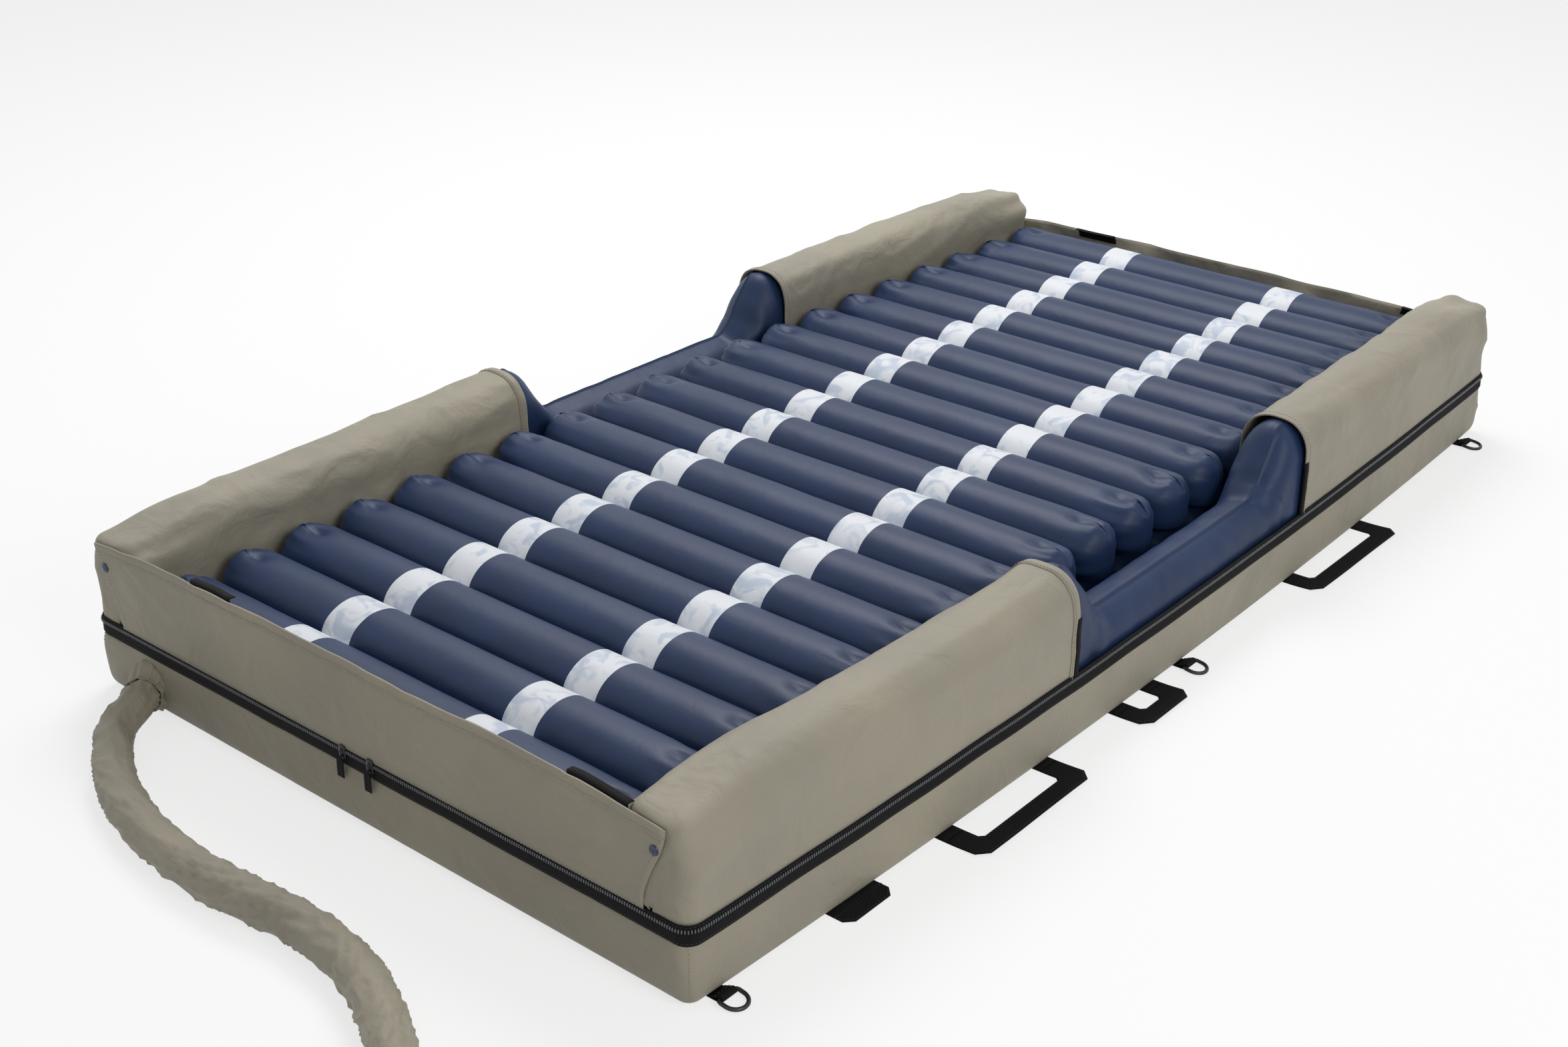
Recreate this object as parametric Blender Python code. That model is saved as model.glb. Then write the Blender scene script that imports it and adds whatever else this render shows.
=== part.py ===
"""Alternating pressure relief mattress: zipped nylon cover, twenty air cells and two side bolsters.

Frame: metres, +Z up, +Y from the foot end to the head end, +X to the right seen from the foot.
The origin is on the floor under the middle of the mattress.
"""
import math

import bmesh
import bpy
from mathutils import Vector

# ---- overall sizes --------------------------------------------------------------------------
LENGTH = 2.000              # outside, foot wall to head wall
WIDTH_MIDDLE = 1.092        # outside, where the inflated sides bulge most
WIDTH_FOOT = WIDTH_MIDDLE - 0.032
WIDTH_HEAD = WIDTH_MIDDLE - 0.060
CORNER_R = 0.020            # plan corner of the cover
EDGE_R = 0.018              # rounded lower edge of the cover
CLOTH = 0.003               # stand-in thickness of the coated nylon
GAP = 0.0003                # gap left between pieces that touch

# ---- zip ------------------------------------------------------------------------------------
ZIP_BOTTOM = 0.085
TAPE_HEIGHT = 0.025
TAPE_THICK = 0.0028
COIL_PROUD = 0.0014         # coil standing out of the tape
COIL_HEIGHT = 0.006

# ---- upper panels and bolster sleeves -------------------------------------------------------
FOOT_PANEL_TOP = 0.237
HEAD_PANEL_TOP = 0.190
PANEL_SAG = 0.006           # the panel's upper edge is lower at its ends
PANEL_THICK = 0.0035
SLEEVE_WIDTH = 0.104
SLEEVE_CREST = 0.250
SLEEVE_SPRING = 0.190       # where the rounded top starts
SLEEVE_HEM = 0.125          # lower edge of the inner side
SLEEVE_MOUTH = 0.300        # distance of each open end from mid-length

# ---- side bolsters --------------------------------------------------------------------------
BOLSTER_LOW_CREST = 0.153
BOLSTER_LOW_SPRING = 0.112
BOLSTER_RISE_START = 0.200  # distance from mid-length
BOLSTER_RISE_END = 0.292
BOLSTER_CLEAR = 0.0008      # to the sleeve around it
BOLSTER_EDGE_CLEAR = 0.0015 # to the rounded lower edge of the cover

# ---- air cells ------------------------------------------------------------------------------
CELL_COUNT = 20
CELL_TOP = 0.187
CELL_WIDTH = 0.0965
CELL_ROW_CLEAR = 0.001      # first and last cell to the end panels
CELL_WAIST_Z = 0.102
CELL_END_CLEAR = 0.005      # to the bolster sleeve
CELL_PILLOW = 0.060         # length over which an end closes to its seam
LINE_NOTCH = 0.024          # the lower chamber is this much shorter at the air line

# ---- air line and hose ----------------------------------------------------------------------
TUBE_R = 0.0045
TUBE_PITCH = 0.0088
NIPPLE_R = 0.0028
PORT_INSET = SLEEVE_WIDTH + 0.0015      # from the left wall, clear of the bolster
PORT_Z = 0.040
PORT_R = 0.0115
CUFF_LENGTH = 0.024
CUFF_BASE_R = 0.034
CUFF_MOUTH_R = 0.0265
HOSE_D = 0.048
HOSE_TURN = math.radians(33)    # the hose leaves the wall turned towards +X
HOSE_STEP = 0.055
# The route of the free hose after its first straight stretch, chosen by hand: distance from the
# port towards +X, distance out from the foot wall, height.
HOSE_ROUTE = (
    (0.0465, 0.087, 0.0300), (0.0905, 0.121, 0.0255), (0.1345, 0.148, 0.0243),
    (0.1845, 0.168, 0.0243), (0.2565, 0.187, 0.0243), (0.3405, 0.198, 0.0243),
    (0.4155, 0.197, 0.0243), (0.4805, 0.190, 0.0243), (0.5425, 0.184, 0.0243),
    (0.6065, 0.188, 0.0243), (0.6645, 0.201, 0.0243), (0.7205, 0.223, 0.0243),
    (0.7735, 0.252, 0.0243), (0.8225, 0.286, 0.0243), (0.8665, 0.326, 0.0243),
    (0.9045, 0.371, 0.0243),
)
CONNECTOR_LENGTH = 0.072

# ---- webbing --------------------------------------------------------------------------------
WEB_THICK = 0.0018
WEB_LIFT = 0.0004           # webbing lies this far above the floor
WEB_WIDTH = 0.034
ANCHOR_INSET = 0.016        # how far a sewn end reaches under the cover
HINGE_CLEAR = 0.002         # from the widest wall to a handle's fold line
# name, middle as a share of half the length, length along the side, reach from the fold line
HANDLES = (
    ("strap_loop", "foot", -0.730, 0.085, 0.022),
    ("carry_handle", "foot", -0.455, 0.235, 0.058),
    ("strap_loop", "middle", -0.140, 0.112, 0.050),
    ("carry_handle", "head", 0.417, 0.262, 0.048),
)
RINGS = (("foot", -0.955), ("middle", -0.022), ("head", 0.930))    # shares of half the length
RING_WIRE_R = 0.0026
RING_HALF = 0.0150
RING_LEG = 0.0110
RING_BAR_Z = 0.0064
RING_BAR_OUT = 0.0105       # bar's distance from the wall
TAB_WIDTH = 0.024
TAB_WALL = 0.0014
TAB_CLEAR = 0.0004          # webbing loop to the bar
TAB_TAIL_STOP = 0.007       # the tail ends this far short of the flat underside

# ---- zip sliders and press studs --------------------------------------------------------------
SLIDER_X = (-0.022, 0.028)
SLIDER_WIDTH = 0.012
SLIDER_DEPTH = 0.0052
SLIDER_Z = (0.094, 0.112)
PULL_WIDTH = 0.011
PULL_LENGTH = 0.028
PULL_THICK = 0.0016
PULL_AXIS_OUT = 0.0013      # hinge line in front of the slider
STUD_INSET = 0.042          # from the side wall
STUD_Z = 0.192
STUD_R = 0.0062
STUD_THICK = 0.0026

HALF_LENGTH = LENGTH / 2
TRAY_TOP = ZIP_BOTTOM - GAP
TAPE_TOP = ZIP_BOTTOM + TAPE_HEIGHT
UPPER_BOTTOM = TAPE_TOP + GAP
CELL_PITCH = (LENGTH - 2 * (PANEL_THICK + CELL_ROW_CLEAR)) / CELL_COUNT
FLOOR_OF_TRAY = CLOTH + 1.5 * GAP
SLEEVE_CLEAR = 0.0005       # end panel to the sleeves beside it
PORT_X = -(WIDTH_FOOT / 2 - PORT_INSET)


# ---- materials ------------------------------------------------------------------------------
def material(name, colour, roughness, metallic=0.0):
    made = bpy.data.materials.get(name)
    if made is None:
        made = bpy.data.materials.new(name)
        made.use_nodes = True
        shader = made.node_tree.nodes["Principled BSDF"]
        shader.inputs["Base Color"].default_value = (*colour, 1.0)
        shader.inputs["Roughness"].default_value = roughness
        shader.inputs["Metallic"].default_value = metallic
    return made


def nylon():
    return material("grey_nylon", (0.230, 0.215, 0.165), 0.62)


def cell_film():
    return material("navy_tpu_film", (0.032, 0.058, 0.110), 0.48)


def black_web():
    return material("black_webbing", (0.010, 0.010, 0.011), 0.85)


def black_plastic():
    return material("black_acetal", (0.012, 0.012, 0.013), 0.40)


def stud_metal():
    return material("dark_press_stud", (0.040, 0.045, 0.060), 0.30, 0.8)


def clear_tube():
    return material("soft_pvc_tube", (0.420, 0.450, 0.460), 0.35)


# ---- mesh helpers ---------------------------------------------------------------------------
def add_node(name, bm, finish):
    bmesh.ops.recalc_face_normals(bm, faces=bm.faces)
    mesh = bpy.data.meshes.new(name)
    bm.to_mesh(mesh)
    bm.free()
    mesh.materials.append(finish)
    made = bpy.data.objects.new(name, mesh)
    bpy.context.scene.collection.objects.link(made)
    return made


def bridge(bm, ring_a, ring_b, closed=True):
    count = len(ring_a)
    for i in range(count if closed else count - 1):
        j = (i + 1) % count
        bm.faces.new((ring_a[i], ring_a[j], ring_b[j], ring_b[i]))


def rings_of(bm, sections):
    return [[bm.verts.new(point) for point in section] for section in sections]


def loft(name, sections, finish):
    """A closed body through closed sections, capped at both ends."""
    bm = bmesh.new()
    rings = rings_of(bm, sections)
    for ring_a, ring_b in zip(rings, rings[1:]):
        bridge(bm, ring_a, ring_b)
    bm.faces.new(rings[0])
    bm.faces.new(rings[-1])
    return add_node(name, bm, finish)


def hoop(name, sections, finish):
    """A closed body whose last section joins its first."""
    bm = bmesh.new()
    rings = rings_of(bm, sections)
    for ring_a, ring_b in zip(rings, rings[1:] + rings[:1]):
        bridge(bm, ring_a, ring_b)
    return add_node(name, bm, finish)


def combine(target, tool, operation):
    """Boolean with a tool object that stays in the file as a guide."""
    tool.hide_render = True
    tool.display_type = "WIRE"
    cut = target.modifiers.new(operation.lower(), "BOOLEAN")
    cut.operation = operation
    cut.object = tool
    cut.solver = "EXACT"


def boxes_object(name, boxes):
    """One mesh of several separate boxes, each a pair of corners."""
    bm = bmesh.new()
    for low, high in boxes:
        made = bmesh.ops.create_cube(bm, size=1.0)["verts"]
        for vert in made:
            vert.co = Vector(low[k] if vert.co[k] < 0 else high[k] for k in range(3))
    return add_node(name, bm, black_web())


# ---- the plan of the cover ------------------------------------------------------------------
def half_width(y):
    """Half the outside width at a station along the mattress."""
    t = y / HALF_LENGTH
    taper = (WIDTH_HEAD - WIDTH_FOOT) / 4
    bulge = (WIDTH_HEAD + WIDTH_FOOT) / 4 - WIDTH_MIDDLE / 2
    return WIDTH_MIDDLE / 2 + taper * t + bulge * t * t


def corner_stations(depth, steps=3):
    """Stations round a plan corner for a skin at this depth: (|y|, distance in from the side)."""
    radius = CORNER_R - depth
    turns = [math.radians(90 * k / steps) for k in range(steps + 1)]
    return [(HALF_LENGTH - CORNER_R + radius * math.sin(a), CORNER_R - radius * math.cos(a))
            for a in turns]


def plan_outline(inset, z, side_steps=9, corner_steps=3):
    """The cover's outline, moved inwards by inset, as points at height z."""
    points = []
    y_arc = HALF_LENGTH - CORNER_R
    stations = [-y_arc + 2 * y_arc * i / side_steps for i in range(side_steps + 1)]
    for sign in (1, -1):
        for i, y in enumerate(stations):
            y *= sign
            if i in (0, side_steps):
                turn = -90 if i == 0 else 0
                for k in range(corner_steps + 1):
                    a = math.radians(turn + 90 * k / corner_steps)
                    radius = CORNER_R - inset
                    x = half_width(y) - CORNER_R + radius * math.cos(a)
                    points.append((sign * x, y + sign * radius * math.sin(a), z))
            else:
                points.append((sign * (half_width(y) - inset), y, z))
    return points


# ---- cover ----------------------------------------------------------------------------------
def handle_fold_x(middle, length):
    """The fold line of a handle, clear of the wall over the handle's length."""
    ends = [half_width(middle + side * length / 2) for side in (-1, 0, 1)]
    return max(ends) + HINGE_CLEAR


def handle_legs(length):
    """Where a handle's two legs lie along the side, from its middle."""
    if length <= 3 * WEB_WIDTH:
        return ((-length / 2, length / 2),)
    return ((-length / 2, -length / 2 + WEB_WIDTH), (length / 2 - WEB_WIDTH, length / 2))


def base_cover():
    """Tray of coated nylon: underside and lower walls, with the sewn ends of the handles."""
    sections = []
    steps = 4
    for i in range(steps + 1):
        a = math.radians(90 * i / steps)
        sections.append(plan_outline(EDGE_R * (1 - math.sin(a)), EDGE_R * (1 - math.cos(a))))
    sections.append(plan_outline(0, TRAY_TOP))
    sections.append(plan_outline(CLOTH, TRAY_TOP))
    inner_r = EDGE_R - CLOTH
    for i in range(steps + 1):
        a = math.radians(90 - 90 * i / steps)
        inset = EDGE_R - inner_r * math.sin(a)
        sections.append(plan_outline(inset, EDGE_R - inner_r * math.cos(a)))
    tray = loft("base_cover", sections, nylon())

    anchors = []
    for _, _, share, length, _ in HANDLES:
        middle = share * HALF_LENGTH
        fold = handle_fold_x(middle, length)
        for low, high in handle_legs(length):
            start = half_width(middle) - ANCHOR_INSET
            for sign in (-1, 1):
                xs = sorted((sign * start, sign * (fold - GAP)))
                anchors.append(((xs[0], middle + low, WEB_LIFT),
                                (xs[1], middle + high, WEB_LIFT + WEB_THICK)))
    combine(tray, boxes_object("handle_anchor_guide", anchors), "UNION")

    port = tube_along_y("hose_port_cutter", PORT_X, PORT_Z, PORT_R,
                        -HALF_LENGTH - CLOTH, -HALF_LENGTH + 2 * CLOTH, 14)
    combine(tray, port, "DIFFERENCE")


def tube_along_y(name, x, z, radius, y0, y1, sides):
    sections = []
    for y in (y0, y1):
        ring = []
        for k in range(sides):
            a = 2 * math.pi * k / sides
            ring.append((x + radius * math.cos(a), y, z + radius * math.sin(a)))
        sections.append(ring)
    return loft(name, sections, black_plastic())


def zipper_tape():
    """Tape all round the cover, with the coil as a bead near its upper edge."""
    coil_low = TAPE_TOP - 0.002 - COIL_HEIGHT
    profile = ((0, ZIP_BOTTOM), (0, coil_low), (-COIL_PROUD, coil_low + 0.0015),
               (-COIL_PROUD, coil_low + COIL_HEIGHT - 0.0015), (0, coil_low + COIL_HEIGHT),
               (0, TAPE_TOP), (TAPE_THICK, TAPE_TOP), (TAPE_THICK, ZIP_BOTTOM))
    hoop("zipper_tape", [plan_outline(inset, z) for inset, z in profile], black_web())


def end_panel(name, end, top):
    """Upper wall across one end, between the two sleeves; end is -1 at the foot."""
    y_out = end * HALF_LENGTH
    y_in = end * (HALF_LENGTH - PANEL_THICK)
    along = CORNER_R - PANEL_THICK
    rounding = CORNER_R - math.sqrt(CORNER_R ** 2 - along ** 2)
    half = half_width(y_out) - SLEEVE_WIDTH + rounding - SLEEVE_CLEAR
    sections = []
    steps = 10
    for i in range(steps + 1):
        t = -1 + 2 * i / steps
        z = top - PANEL_SAG * t * t
        sections.append([(half * t, y_out, UPPER_BOTTOM), (half * t, y_in, UPPER_BOTTOM),
                         (half * t, y_in, z), (half * t, y_out, z)])
    loft(name, sections, nylon())


def arch(y, off, spring, crest, hem, steps=8):
    """Half a cross-section of a sleeve or bolster: up the outside, over the top, down the inside."""
    centre = SLEEVE_WIDTH / 2
    reach = centre - off
    points = [(off, hem[0])]
    for i in range(steps + 1):
        a = math.pi * i / steps
        points.append((centre - reach * math.cos(a), spring + (crest - off - spring) * math.sin(a)))
    points.append((SLEEVE_WIDTH - off, hem[1]))
    return [(half_width(y) - inset, y, z) for inset, z in points]


def bolster_sleeve(name, side, end):
    """Nylon sleeve over one end of a side bolster: closed at the corner, open towards the middle."""
    corner = HALF_LENGTH - CORNER_R
    steps = 5
    straight = [corner + (SLEEVE_MOUTH - corner) * i / steps for i in range(1, steps + 1)]

    def skin(depth):
        stations = corner_stations(depth)[::-1] + [(y, depth) for y in straight]
        made = []
        for y, off in stations:
            section = arch(end * y, off, SLEEVE_SPRING, SLEEVE_CREST, (UPPER_BOTTOM, SLEEVE_HEM))
            made.append([(side * x, at, z) for x, at, z in section])
        return made

    bm = bmesh.new()
    outer = rings_of(bm, skin(0))
    inner = rings_of(bm, skin(CLOTH))
    for layer in (outer, inner):
        for ring_a, ring_b in zip(layer, layer[1:]):
            bridge(bm, ring_a, ring_b, closed=False)
        bm.faces.new(layer[0])
    bridge(bm, outer[-1], inner[-1], closed=False)
    for edge in (0, -1):
        for i in range(len(outer) - 1):
            bm.faces.new((outer[i][edge], outer[i + 1][edge], inner[i + 1][edge], inner[i][edge]))
    bm.faces.new((outer[0][0], outer[0][-1], inner[0][-1], inner[0][0]))
    add_node(name, bm, nylon())


# ---- air parts ------------------------------------------------------------------------------
def rise(y):
    """0 where the bolster is low, 1 where it fills the sleeve."""
    t = (abs(y) - BOLSTER_RISE_START) / (BOLSTER_RISE_END - BOLSTER_RISE_START)
    t = min(1.0, max(0.0, t))
    return t * t * (3 - 2 * t)


def edge_lift(y, depth):
    """How far the rounded lower edge of the end wall lifts a skin that lies in the tray."""
    radius = EDGE_R - depth - BOLSTER_EDGE_CLEAR
    along = min(radius, max(0.0, abs(y) - (HALF_LENGTH - EDGE_R)))
    return radius - math.sqrt(radius ** 2 - along ** 2)


def side_bolster(name, side):
    """Full-length air bolster, high inside the sleeves and low between them."""
    depth = CLOTH + BOLSTER_CLEAR
    span = BOLSTER_RISE_END - BOLSTER_RISE_START
    half = [(0.0, depth), (BOLSTER_RISE_START / 2, depth)]
    half += [(BOLSTER_RISE_START + span * k / 4, depth) for k in range(5)]
    # Beyond the mouth the stations are the sleeve's own, so that the two skins stay parallel.
    corner = HALF_LENGTH - CORNER_R
    steps = 5
    half += [(SLEEVE_MOUTH + (corner - SLEEVE_MOUTH) * k / steps, depth) for k in range(steps)]
    half += corner_stations(depth)
    stations = [(-y, off) for y, off in reversed(half)] + half[1:]
    sections = []
    for y, off in stations:
        r = rise(y)
        spring = BOLSTER_LOW_SPRING + (SLEEVE_SPRING - BOLSTER_LOW_SPRING) * r
        crest = BOLSTER_LOW_CREST + off + (SLEEVE_CREST - BOLSTER_LOW_CREST - off) * r
        section = arch(y, off, spring, crest, (0.020, 0.030))
        wall = half_width(y)
        lift = FLOOR_OF_TRAY + edge_lift(y, depth)
        section += [(wall - SLEEVE_WIDTH + off + 0.006, y, lift),
                    (wall - off - 0.0095, y, lift + 0.0015)]
        sections.append([(side * x, y, z) for x, y, z in section])
    loft(name, sections, cell_film())


def cell_profile(width, top, bottom):
    """Outline of a two-chamber cell seen along X: (y, z) pairs, anticlockwise from the bottom."""
    half = width / 2
    right = ((0.74 * half, bottom), (0.98 * half, bottom + 0.016), (0.98 * half, 0.086),
             (0.90 * half, CELL_WAIST_Z), (half, 0.119), (half, top - 0.039),
             (0.70 * half, top - 0.011))
    left = [(-y, z) for y, z in reversed(right)]
    return list(right) + [(0.0, top)] + left


def cell_y(index):
    """Middle of a cell along the mattress."""
    return CELL_PITCH * (index - (CELL_COUNT - 1) / 2)


def cell_end_x(y):
    """Where the cells end beside the sleeve."""
    return half_width(y) - SLEEVE_WIDTH - CELL_END_CLEAR


def air_cell(index):
    """Cell-on-cell air tube across the mattress with pillow ends; 01 is at the foot."""
    y = cell_y(index)
    reach = cell_end_x(y)
    # distance in from the end, width, drop of the top, lift of the bottom
    shapes = ((0.000, 0.20, 0.024, 0.010), (0.012, 0.58, 0.011, 0.003),
              (CELL_PILLOW / 2, 0.86, 0.003, 0.001), (CELL_PILLOW, 1.00, 0.0, 0.0))
    ends = [(side * (reach - depth), *shape) for side, order in ((-1, shapes), (1, shapes[::-1]))
            for depth, *shape in order]
    sections = []
    for x, share, drop, lift in ends:
        ring = []
        for dy, z in cell_profile(CELL_WIDTH * share, CELL_TOP - drop, FLOOR_OF_TRAY + lift):
            shift = LINE_NOTCH if x < -reach + CELL_PILLOW / 2 and z < 0.05 else 0.0
            ring.append((x + shift, y + dy, z))
        sections.append(ring)
    loft(f"air_cell_{index + 1:02d}", sections, cell_film())


def line_x(y):
    """Centre of the twin air line: between the left bolster and the cells' lower chambers."""
    return -(half_width(y) - SLEEVE_WIDTH + CLOTH - TUBE_R)


def twin_air_line():
    """Two tubes side by side feed odd and even cells; each cell has its own nipple."""
    low = FLOOR_OF_TRAY + TUBE_R
    sides = 5

    def section(x, y, z):
        ring = []
        for centre, start in ((z, math.pi), (z + TUBE_PITCH, 0.0)):
            for k in range(sides + 1):
                a = start + math.pi * k / sides
                ring.append((x + TUBE_R * math.cos(a), y, centre + TUBE_R * math.sin(a)))
        return ring

    port_end = -HALF_LENGTH - CUFF_LENGTH * 0.8
    inside = -HALF_LENGTH + 0.010
    in_port = PORT_Z - TUBE_PITCH / 2
    path = [(PORT_X, port_end, in_port), (PORT_X, inside, in_port)]
    steps = 12
    first = -HALF_LENGTH + 0.060
    last = cell_y(CELL_COUNT - 1) + 0.012
    for i in range(steps + 1):
        y = first + (last - first) * i / steps
        path.append((line_x(y), y, low))
    line = loft("twin_air_line", [section(*point) for point in path], clear_tube())

    bm = bmesh.new()
    for index in range(CELL_COUNT):
        y = cell_y(index)
        z = low + TUBE_PITCH * (index % 2)
        if index == 0:
            y += CELL_PITCH / 5
        start = line_x(y)
        stop = -cell_end_x(y) + LINE_NOTCH - 4 * GAP
        rings = []
        for x in (start, stop):
            rings.append([bm.verts.new((x, y + NIPPLE_R * math.cos(math.pi * k / 3),
                                        z + NIPPLE_R * math.sin(math.pi * k / 3)))
                          for k in range(6)])
        bridge(bm, *rings)
        bm.faces.new(rings[0])
        bm.faces.new(rings[1])
    combine(line, add_node("cell_nipple_guide", bm, clear_tube()), "UNION")


# ---- hose -----------------------------------------------------------------------------------
def hose_direction():
    return Vector((math.sin(HOSE_TURN), -math.cos(HOSE_TURN), 0.0))


def hose_exit():
    """Centre of the cuff's mouth, where the free hose starts."""
    wall = Vector((PORT_X, -HALF_LENGTH - GAP, PORT_Z))
    return wall + hose_direction() * CUFF_LENGTH


def ring_points(centre, direction, radius, sides):
    """A circle of points across a horizontal direction."""
    across = Vector((direction.y, -direction.x, 0.0)).normalized()
    made = []
    for k in range(sides):
        a = 2 * math.pi * k / sides
        made.append(centre + across * (radius * math.cos(a)) + Vector((0, 0, radius * math.sin(a))))
    return made


def hose_cuff():
    """Gathered collar sewn round the port in the foot wall."""
    wall = Vector((PORT_X, -HALF_LENGTH - GAP, PORT_Z))
    out = hose_direction()
    straight = Vector((0, -1, 0))
    sides = 14
    sections = [
        ring_points(wall, straight, CUFF_BASE_R, sides),
        ring_points(wall + out * (CUFF_LENGTH * 0.45), (straight + out).normalized(),
                    CUFF_MOUTH_R + 0.002, sides),
        ring_points(wall + out * CUFF_LENGTH, out, CUFF_MOUTH_R, sides),
        ring_points(wall + out * CUFF_LENGTH, out, PORT_R + 0.007, sides),
        ring_points(wall, straight, PORT_R + 0.003, sides),
    ]
    hoop("hose_cuff", sections, nylon())


def smooth_route(route, step):
    """Points about a step apart on a smooth curve through the route's points."""
    ends = [2 * route[0] - route[1]] + list(route) + [2 * route[-1] - route[-2]]
    fine = []
    for p0, p1, p2, p3 in zip(ends, ends[1:], ends[2:], ends[3:]):
        for k in range(12):
            t = k / 12
            fine.append(0.5 * (2 * p1 + (p2 - p0) * t + (2 * p0 - 5 * p1 + 4 * p2 - p3) * t ** 2
                               + (3 * p1 - p0 - 3 * p2 + p3) * t ** 3))
    fine.append(route[-1])
    picked = [fine[0]]
    walked = 0.0
    for a, b in zip(fine, fine[1:]):
        walked += (b - a).length
        if walked >= step:
            picked.append(b)
            walked = 0.0
    if (picked[-1] - route[-1]).length < step / 2:
        picked.pop()
    return picked + [route[-1]]


def hose_path():
    start = hose_exit() + hose_direction() * GAP
    straight = start + hose_direction() * 0.020
    route = [Vector((PORT_X + along, -HALF_LENGTH - out, z)) for along, out, z in HOSE_ROUTE]
    return [start] + smooth_route([straight] + route, HOSE_STEP)


def hose_sleeve():
    """Free hose in its nylon sleeve, lying on the floor."""
    points = hose_path()
    curve = bpy.data.curves.new("hose_sleeve", "CURVE")
    curve.dimensions = "3D"
    spline = curve.splines.new("POLY")
    spline.points.add(len(points) - 1)
    for slot, point in zip(spline.points, points):
        slot.co = (*point, 1.0)
    curve.bevel_depth = HOSE_D / 2
    curve.bevel_resolution = 3
    curve.use_fill_caps = True
    curve.materials.append(nylon())
    made = bpy.data.objects.new("hose_sleeve", curve)
    bpy.context.scene.collection.objects.link(made)


def hose_connector():
    """Twin quick coupling on the hose's end."""
    points = hose_path()
    end = points[-1]
    along = end - points[-2]
    along = Vector((along.x, along.y, 0.0)).normalized()
    across = Vector((-along.y, along.x, 0.0))
    # distance along, half width, half height
    steps = ((0.0, 0.023, 0.020), (0.016, 0.023, 0.020), (0.018, 0.028, 0.022),
             (0.052, 0.028, 0.022), (0.054, 0.021, 0.012), (CONNECTOR_LENGTH, 0.021, 0.012))
    sections = []
    for reach, half, tall in steps:
        centre = end + along * (reach + GAP)
        ring = []
        for k in range(12):
            a = 2 * math.pi * (k + 0.5) / 12
            u = math.copysign(abs(math.cos(a)) ** 0.5, math.cos(a))
            v = math.copysign(abs(math.sin(a)) ** 0.5, math.sin(a))
            ring.append(centre + across * (half * u) + Vector((0, 0, tall * v)))
        sections.append(ring)
    loft("hose_connector", sections, black_plastic())


# ---- webbing parts --------------------------------------------------------------------------
def side_name(sign):
    return "right" if sign > 0 else "left"


def handle(kind, place, middle, length, reach, sign):
    """A webbing loop lying on the floor, hinged at its fold line beside the wall."""
    fold = handle_fold_x(middle, length)
    half = length / 2
    near = fold + GAP
    far = fold + reach
    chamfer = min(0.016, reach / 2)
    outline = [(near, -half), (far - chamfer, -half), (far, -half + chamfer),
               (far, half - chamfer), (far - chamfer, half), (near, half)]
    if len(handle_legs(length)) == 2:
        inner = max(near + 0.012, far - WEB_WIDTH * 0.8)
        outline += [(near, half - WEB_WIDTH), (inner - 0.006, half - WEB_WIDTH),
                    (inner, half - WEB_WIDTH - 0.006), (inner, -half + WEB_WIDTH + 0.006),
                    (inner - 0.006, -half + WEB_WIDTH), (near, -half + WEB_WIDTH)]
    z_fold = WEB_LIFT + WEB_THICK
    sections = []
    for z in (-WEB_THICK, 0.0):
        sections.append([(sign * (x - fold), y, z) for x, y in outline])
    made = loft(f"{kind}_{side_name(sign)}_{place}", sections, black_web())
    made.location = (sign * fold, middle, z_fold)


def d_ring(place, y, sign):
    """Ring bent from wire; its bar turns in the webbing tab and its bow lies on the floor."""
    bow_out = RING_LEG + RING_HALF
    drop = RING_BAR_Z - RING_WIRE_R - 2 * GAP
    points = [(0.0, -RING_HALF), (0.0, 0.0), (0.0, RING_HALF), (RING_LEG * 0.6, RING_HALF)]
    arc_steps = 8
    for k in range(arc_steps + 1):
        a = math.pi * (0.5 - k / arc_steps)
        points.append((RING_LEG + RING_HALF * math.cos(a), RING_HALF * math.sin(a)))
    points.append((RING_LEG * 0.6, -RING_HALF))
    curve = bpy.data.curves.new(f"d_ring_{side_name(sign)}_{place}", "CURVE")
    curve.dimensions = "3D"
    spline = curve.splines.new("POLY")
    spline.points.add(len(points) - 1)
    for slot, (x, dy) in zip(spline.points, points):
        slot.co = (sign * x, dy, 0.0, 1.0)
    spline.use_cyclic_u = True
    curve.bevel_depth = RING_WIRE_R
    curve.bevel_resolution = 1
    curve.materials.append(black_plastic())
    made = bpy.data.objects.new(curve.name, curve)
    made.location = (sign * (half_width(y) + RING_BAR_OUT), y, RING_BAR_Z)
    made.rotation_euler = (0.0, sign * math.asin(drop / bow_out), 0.0)
    bpy.context.scene.collection.objects.link(made)


def d_ring_tab(place, y, sign):
    """Webbing folded round the ring's bar; its tail is sewn under the cover's lower edge."""
    bar_x = half_width(y) + RING_BAR_OUT
    hole = RING_WIRE_R + TAB_CLEAR
    sides = 12
    tail = half_width(y) - EDGE_R + TAB_TAIL_STOP
    inner = []
    outer = []
    for k in range(sides):
        a = 2 * math.pi * k / sides
        inner.append((bar_x + hole * math.cos(a), RING_BAR_Z + hole * math.sin(a)))
        loop = hole + TAB_WALL
        outer.append((bar_x + loop * math.cos(a), RING_BAR_Z + loop * math.sin(a)))
    outer[6] = (tail, WEB_LIFT + 0.0007)
    outer[7] = (tail, WEB_LIFT)
    sections = []
    for ring, dy in ((outer, -1), (outer, 1), (inner, 1), (inner, -1)):
        sections.append([(sign * x, y + dy * TAB_WIDTH / 2, z) for x, z in ring])
    hoop(f"d_ring_tab_{side_name(sign)}_{place}", sections, black_web())


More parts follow.
